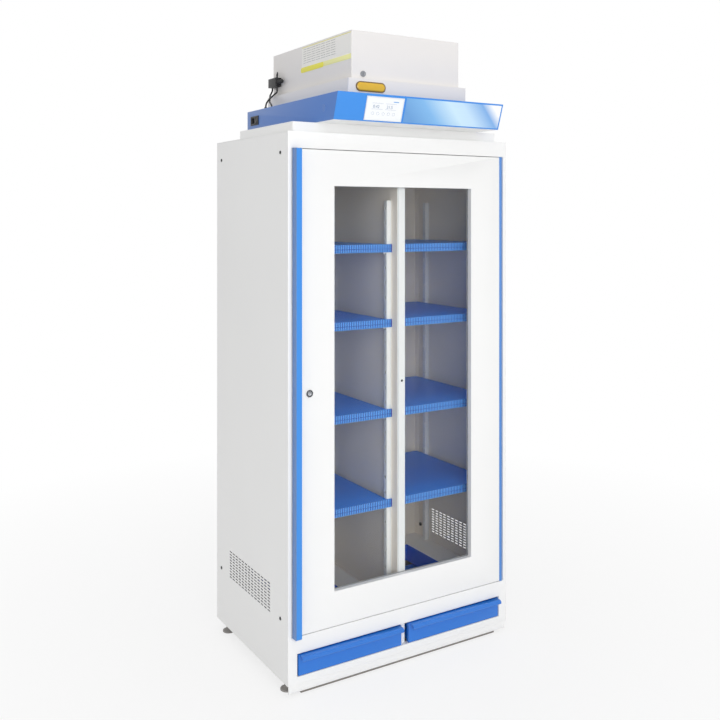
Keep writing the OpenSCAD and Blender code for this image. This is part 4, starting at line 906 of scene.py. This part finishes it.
class CABINET_OT_bolts(bpy.types.Operator):
    """Make the black socket bolts of the side panels and of the partition's post"""

    bl_idname = "cabinet.bolts"
    bl_label = "Bolts"

    def execute(self, context):
        head = add_turned("bolt_head", [
            (0, 0), (5.2, 0), (5.2, 0.7), (4.6, 1.3), (3.4, 1.6), (2.3, 1.6), (2.1, 0.5), (0, 0.5),
        ], 24)
        cap = add_turned("bolt_cap", [
            (0, -0.4), (6.4, -0.4), (6.4, 2.8), (5.7, 4.1), (4.0, 5.0), (1.7, 5.4), (0, 5.4),
        ], 24)
        made = []
        for side, y, z in [(s, y, z) for s in (-1, 1) for y in (48, 480) for z in (208, 1543)]:
            made.append(placed_copy(head, at(side * 400, y, z), (0, side * 90, 0)))
            made.append(placed_copy(cap, at(side * 398, y, z), (0, -side * 90, 0)))
        made.append(stand(add_turned("post_screw", [
            (0, 0), (3.6, 0), (3.6, 0.6), (3.1, 1.2), (2.2, 1.4), (1.4, 1.4), (1.2, 0.5), (0, 0.5),
        ], 24), at(3.5, 24.5, 854.4), (90, 0, 0)))
        bpy.data.objects.remove(head)
        bpy.data.objects.remove(cap)
        finish_piece(joined("panel_bolts", made), "bolt", stands_for="panel_screws")
        return {"FINISHED"}


class CABINET_OT_inside(bpy.types.Operator):
    """Round the folds of the partition, the uprights and the clips in both bays"""

    bl_idname = "cabinet.inside"
    bl_label = "Inside"

    def execute(self, context):
        edge = sizes().edge_radius
        rounded_copy("partition_folds", "centre_partition", edge * 1.6, 3, 0.02)
        rounded_copy("upright_folds", "shelf_uprights", edge, 2, 0.1)
        rounded_copy("clip_edges", "shelf_clips", edge * 0.6, 2, 0.004)
        return {"FINISHED"}


class CABINET_OT_door(bpy.types.Operator):
    """Round the folds of the door, its grip and its hinge profile"""

    bl_idname = "cabinet.door"
    bl_label = "Door"

    def execute(self, context):
        fold, edge = sizes().fold_radius, sizes().edge_radius
        rounded_copy("door_frame_folds", "door_frame", fold * 0.8, 3, 0.05, body="door")
        rounded_copy("door_back_folds", "door_back", edge, 2, 0.05, body="door")
        rounded_copy("grip_edges", "door_grip", edge * 1.2, 3, 0.01, body="door")
        rounded_copy("hinge_edges", "hinge_profile", edge, 2, 0.01, body="door")
        rounded_copy("seal_edges", "door_seal", edge, 2, 0.05, body="door")
        return {"FINISHED"}


class CABINET_OT_locks(bpy.types.Operator):
    """Round the heads and key plugs of the door's lock and of the filter cover's lock"""

    bl_idname = "cabinet.locks"
    bl_label = "Locks"

    def execute(self, context):
        edge = sizes().edge_radius
        for name, cad_node, body in (
            ("door_lock_head", "lock_case", "door"),
            ("door_lock_key_plug", "lock_plug", "door_lock"),
            ("cover_lock_head", "filter_lock_case", "cabinet"),
            ("cover_lock_key_plug", "filter_lock_plug", "filter_lock"),
        ):
            rounded_copy(name, cad_node, edge, 3, body=body)
        return {"FINISHED"}


class CABINET_OT_drawers(bpy.types.Operator):
    """Round the folds of both drawer fronts and their trays"""

    bl_idname = "cabinet.drawers"
    bl_label = "Drawers"

    def execute(self, context):
        edge = sizes().edge_radius
        for side in ("left", "right"):
            body = "drawer_" + side
            rounded_copy(body + "_front_folds", body + "_front", edge * 1.4, 3, 0.01, body)
            rounded_copy(body + "_tray_folds", body + "_tray", edge, 2, 0.02, body)
        return {"FINISHED"}


class CABINET_OT_fan_box(bpy.types.Operator):
    """Round the fan box, its power inlet and the cap in its unused side hole"""

    bl_idname = "cabinet.fan_box"
    bl_label = "Fan box"

    def execute(self, context):
        fold, edge, cap_r = sizes().fold_radius, sizes().edge_radius, sizes().cap_radius * 1000
        rounded_copy("fan_box_cover_folds", "fan_box_cover", fold * 0.8, 3, 0.05)
        rounded_copy("fan_box_base_folds", "fan_box_base", edge, 2, 0.05)
        rounded_copy("power_inlet_edges", "power_inlet", edge, 2, 0.004)
        rounded_copy("power_rocker_edges", "power_rocker", edge, 2, 0.004, body="rocker")
        cap = add_turned("side_cap", [
            (0, -0.3), (cap_r, -0.3), (cap_r, 0.4), (cap_r - 0.7, 0.8),
            (cap_r - 1.6, 0.8), (cap_r - 2.1, 0.4), (0, 0.4),
        ], 48)
        finish_piece(stand(cap, at(-298, -26, 1669), (0, -90, 0)), "fan")
        return {"FINISHED"}


class CABINET_OT_display(bpy.types.Operator):
    """Make the display's screen with its plain figures and its row of touch rings"""

    bl_idname = "cabinet.display"
    bl_label = "Display"

    def execute(self, context):
        rounded_copy("display_rim", "display_panel", sizes().edge_radius, 3, 0.01)
        left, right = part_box("display_panel")[0].x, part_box("display_panel")[1].x
        rim, glass = 0.0031, -0.0024
        screen = add_block("display_screen", (left + rim, glass, 0.0071), (right - rim, -0.0019, 0.0709))
        round_edges(screen, 0.003, 4, running(1, 0.0003))
        finish_piece(on_face(screen), "screen")
        ink = [
            add_figures("fan_figures", "0.42", 0.0125, (left + 0.024, glass, 0.041)),
            add_figures("room_figures", "21.5", 0.0125, (left + 0.070, glass, 0.041)),
        ]
        for z in (0.0375, 0.0545):
            for x in (left + 0.020, left + 0.066):
                low, high = (x, PRINT_FRONT, z), (x + 0.038, PRINT_BACK, z + 0.0005)
                ink.append(add_block("readout_line", low, high))
        for k in range(5):
            bpy.ops.curve.primitive_bezier_circle_add(radius=0.0042)
            ring = bpy.context.active_object
            ring.data.bevel_depth = 0.0004
            ring.data.bevel_resolution = 1
            ring.data.resolution_u = 6
            bpy.ops.object.convert(target="MESH")
            place = (left + 0.026 + 0.018 * k, -0.0022, 0.025)
            ink.append(stand(bpy.context.active_object, place, (90, 0, 0)))
        finish_piece(on_face(joined("display_figures", ink)), "ink")
        low, high = (left + 0.092, PRINT_FRONT, 0.060), (left + 0.110, PRINT_BACK, 0.0625)
        tag = round_edges(add_block("display_tag", low, high), 0.0008, 2, running(1, 0.0001))
        finish_piece(on_face(tag), "tag")
        return {"FINISHED"}


class CABINET_OT_filter_unit(bpy.types.Operator):
    """Round the filter frame and cover, and put the bare badge and the bare record card on them"""

    bl_idname = "cabinet.filter_unit"
    bl_label = "Filter unit"

    def execute(self, context):
        s = sizes()
        rounded_copy("filter_frame_folds", "filter_frame", s.fold_radius, 3, 0.05)
        rounded_copy("filter_cover_folds", "filter_cover", s.fold_radius, 3, 0.1)
        frame_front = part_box("filter_frame")[0].y
        left, low = -0.190, 1.726
        badge = add_pill(
            "filter_badge", (left, frame_front - BADGE_DEPTH, low),
            (left + s.badge_length, frame_front + 0.0001, low + s.badge_height), 0.0024,
            ((0.0014, 0.0008), (0.0026, 0.0006), (0.0036, 0.0003)),
        )
        finish_piece(badge, "badge")
        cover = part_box("filter_cover")
        side, top, near = cover[0].x, cover[1].z - 0.005, cover[0].y + 0.003
        back, strip_top = side + 0.0002, top - 0.064
        card = add_block(
            "record_card", (side - 0.0004, near, top - s.card_height), (back, near + s.card_length, top)
        )
        finish_piece(round_edges(card, 0.003, 3, running(0, 0.0005)), "card")
        strip = add_block("card_strip", (side - 0.0006, near, top - 0.079), (back, near + 0.172, strip_top))
        finish_piece(round_edges(strip, 0.0002, 2), "strip")
        pill = add_pill(
            "card_pill", (-near - 0.315, -0.0010, top - 0.0805), (-near - 0.165, 0, strip_top), 0.0012,
            ((0.0008, 0.0002),),
        )
        finish_piece(stand(pill, (side, 0, 0), (0, 0, -90)), "yellow")
        return {"FINISHED"}


class CABINET_OT_sensor(bpy.types.Operator):
    """Make the sensor plug, its ribbed barrel, and the two leads down to their glands"""

    bl_idname = "cabinet.sensor"
    bl_label = "Sensor plug and leads"

    def execute(self, context):
        rounded_copy("sensor_plug_edges", "sensor_plug", 0.0009, 3, 0.002)
        sleeve = [(0, 0)]
        for z in (0, 2.4, 4.8, 7.2, 9.6):
            sleeve += [(6.2, z), (7.0, z + 0.5), (7.0, z + 1.2), (6.2, z + 1.7)]
        barrel = add_turned("plug_sleeve", sleeve + [(5.0, 12.5), (4.6, 16.5), (0, 16.5)])
        finish_piece(stand(barrel, at(-208, 436, 1811), (90, 0, 0)), "black")
        tip = add_turned("plug_tip", [
            (0, 0), (3.4, 0), (3.6, 2.0), (3.0, 5.0), (2.1, 11.0), (1.0, 13.5), (0, 13.5),
        ], 20)
        finish_piece(stand(tip, at(-208, 460, 1833), (14, 0, 0)), "black")
        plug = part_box("sensor_plug")
        corner = Vector((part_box("filter_cover")[0].x, plug[1].y, plug[0].z + 0.012))
        made = [self.add_lead("lead", corner, route) for route in (LEAD_A, LEAD_B)]
        gland = add_turned("gland", [
            (0, 0), (6.0, 0), (6.0, 4.8), (5.2, 5.4), (4.6, 5.6), (4.6, 9.6), (4.0, 11.6),
            (2.9, 12.4), (0, 12.4),
        ], 12)
        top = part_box("fan_box_cover")[1].z
        for route in (LEAD_A, LEAD_B):
            end = corner + Vector(route[-1]) / 1000
            made.append(placed_copy(gland, (end.x, end.y, top), (0, 0, 0)))
        bpy.data.objects.remove(gland)
        finish_piece(joined("lead_tubes", made), "black", stands_for="sensor_leads")
        return {"FINISHED"}

    def add_lead(self, name, corner, route):
        """A smooth round tube through a lead's points."""
        curve = bpy.data.curves.new(name, "CURVE")
        curve.dimensions = "3D"
        spline = curve.splines.new("BEZIER")
        spline.bezier_points.add(len(route) - 1)
        for point, step in zip(spline.bezier_points, route):
            point.co = corner + Vector(step) / 1000
            point.handle_left_type = point.handle_right_type = "AUTO"
        curve.bevel_depth = sizes().lead_radius
        curve.bevel_resolution = 4
        curve.resolution_u = 4
        curve.use_fill_caps = True
        tube = bpy.data.objects.new(name, curve)
        bpy.context.scene.collection.objects.link(tube)
        only(tube)
        bpy.ops.object.convert(target="MESH")
        return outward(bpy.context.active_object)


class CABINET_OT_studio(bpy.types.Operator):
    """Set up the floor, the lamps, the world and the camera"""

    bl_idname = "cabinet.studio"
    bl_label = "Studio"

    def execute(self, context):
        scene = context.scene
        scene.view_settings.view_transform = "Standard"
        camera_data = bpy.data.cameras.new("studio_camera")
        camera = bpy.data.objects.new("studio_camera", camera_data)
        scene.collection.objects.link(camera)
        # Fitted to the casing's edges in the reference view, whose uprights run parallel
        camera.location = (-1.5375, -2.4548, 1.3608)
        camera.rotation_euler = (math.radians(90), 0, math.radians(-31.45))
        camera_data.sensor_width = 36
        camera_data.lens = 44.57
        camera_data.shift_y = -0.2
        scene.camera = camera
        self.add_floor()
        self.add_world(scene)
        for name, place, aim, size, power in (
            ("key_lamp", (-1.3, -4.3, 1.6), (0.0, 0.0, 0.9), 2.6, 79),
            ("fill_lamp", (-4.0, -1.0, 0.95), (-0.3, 0.1, 0.9), 2.0, 2),
            ("top_lamp", (0.0, -0.3, 3.9), (0.0, 0.0, 1.0), 2.6, 26),
        ):
            self.add_lamp(scene, name, place, aim, size, power)
        return {"FINISHED"}

    def add_lamp(self, scene, name, place, aim, size, power):
        data = bpy.data.lights.new(name, "AREA")
        data.shape, data.size, data.energy = "SQUARE", size, power
        lamp = bpy.data.objects.new(name, data)
        scene.collection.objects.link(lamp)
        lamp.location = place
        lamp.rotation_euler = (Vector(aim) - Vector(place)).to_track_quat("-Z", "Y").to_euler()

    def add_floor(self):
        bpy.ops.mesh.primitive_circle_add(
            vertices=96, radius=14, fill_type="NGON", location=(0, 0, -0.0006)
        )
        floor = claim("studio_floor")
        material, tree, shader = plain_material(
            "studio_floor", {"Base Color": (0.86, 0.86, 0.86, 1), "Roughness": 0.7}
        )
        reach = node(tree, "VectorMath", links={0: own_place(tree)}, operation="LENGTH")
        far = node(tree, "MapRange", {1: 0.6, 2: 2.4, 3: 0.75, 4: 1.0}, {0: reach.outputs["Value"]})
        white = node(tree, "Emission", {"Color": (1, 1, 1, 1), "Strength": 1})
        mix_surface(tree, maths(tree, "MULTIPLY", seen_straight(tree), far.outputs[0]), shader, white)
        floor.data.materials.append(material)

    def add_world(self, scene):
        world = bpy.data.worlds.new("studio_world")
        world.use_nodes = True
        scene.world = world
        tree = world.node_tree
        strength = node(tree, "MapRange", {1: 0, 2: 1, 3: 0.6, 4: 1.0}, {0: seen_straight(tree)})
        tree.links.new(strength.outputs[0], tree.nodes["Background"].inputs["Strength"])
        tree.nodes["Background"].inputs["Color"].default_value = (1, 1, 1, 1)


OPERATORS = (
    CABINET_OT_finishes,
    CABINET_OT_casing,
    CABINET_OT_feet,
    CABINET_OT_bolts,
    CABINET_OT_inside,
    CABINET_OT_door,
    CABINET_OT_locks,
    CABINET_OT_drawers,
    CABINET_OT_fan_box,
    CABINET_OT_display,
    CABINET_OT_filter_unit,
    CABINET_OT_sensor,
    CABINET_OT_studio,
)


class CABINET_PT_panel(bpy.types.Panel):
    """Lists the cabinet's settings and the steps that build it"""

    bl_label = "Filtered Safety Cabinet"
    bl_idname = "CABINET_PT_panel"
    bl_space_type = "VIEW_3D"
    bl_region_type = "UI"
    bl_category = "Cabinet"

    def draw(self, context):
        layout = self.layout
        for settings in (context.scene.cabinet_sizes, context.scene.cabinet_colours):
            box = layout.box()
            for name in settings.__annotations__:
                box.prop(settings, name)
        for operator in OPERATORS:
            layout.operator(operator.bl_idname)


CLASSES = (CabinetSizes, CabinetColours, *OPERATORS, CABINET_PT_panel)


def register():
    for item in CLASSES:
        bpy.utils.register_class(item)
    bpy.types.Scene.cabinet_sizes = PointerProperty(type=CabinetSizes)
    bpy.types.Scene.cabinet_colours = PointerProperty(type=CabinetColours)


def unregister():
    del bpy.types.Scene.cabinet_colours
    del bpy.types.Scene.cabinet_sizes
    for item in reversed(CLASSES):
        bpy.utils.unregister_class(item)


def main():
    register()
    for operator in OPERATORS:
        group, name = operator.bl_idname.split(".")
        getattr(getattr(bpy.ops, group), name)()


if __name__ == "__main__":
    main()
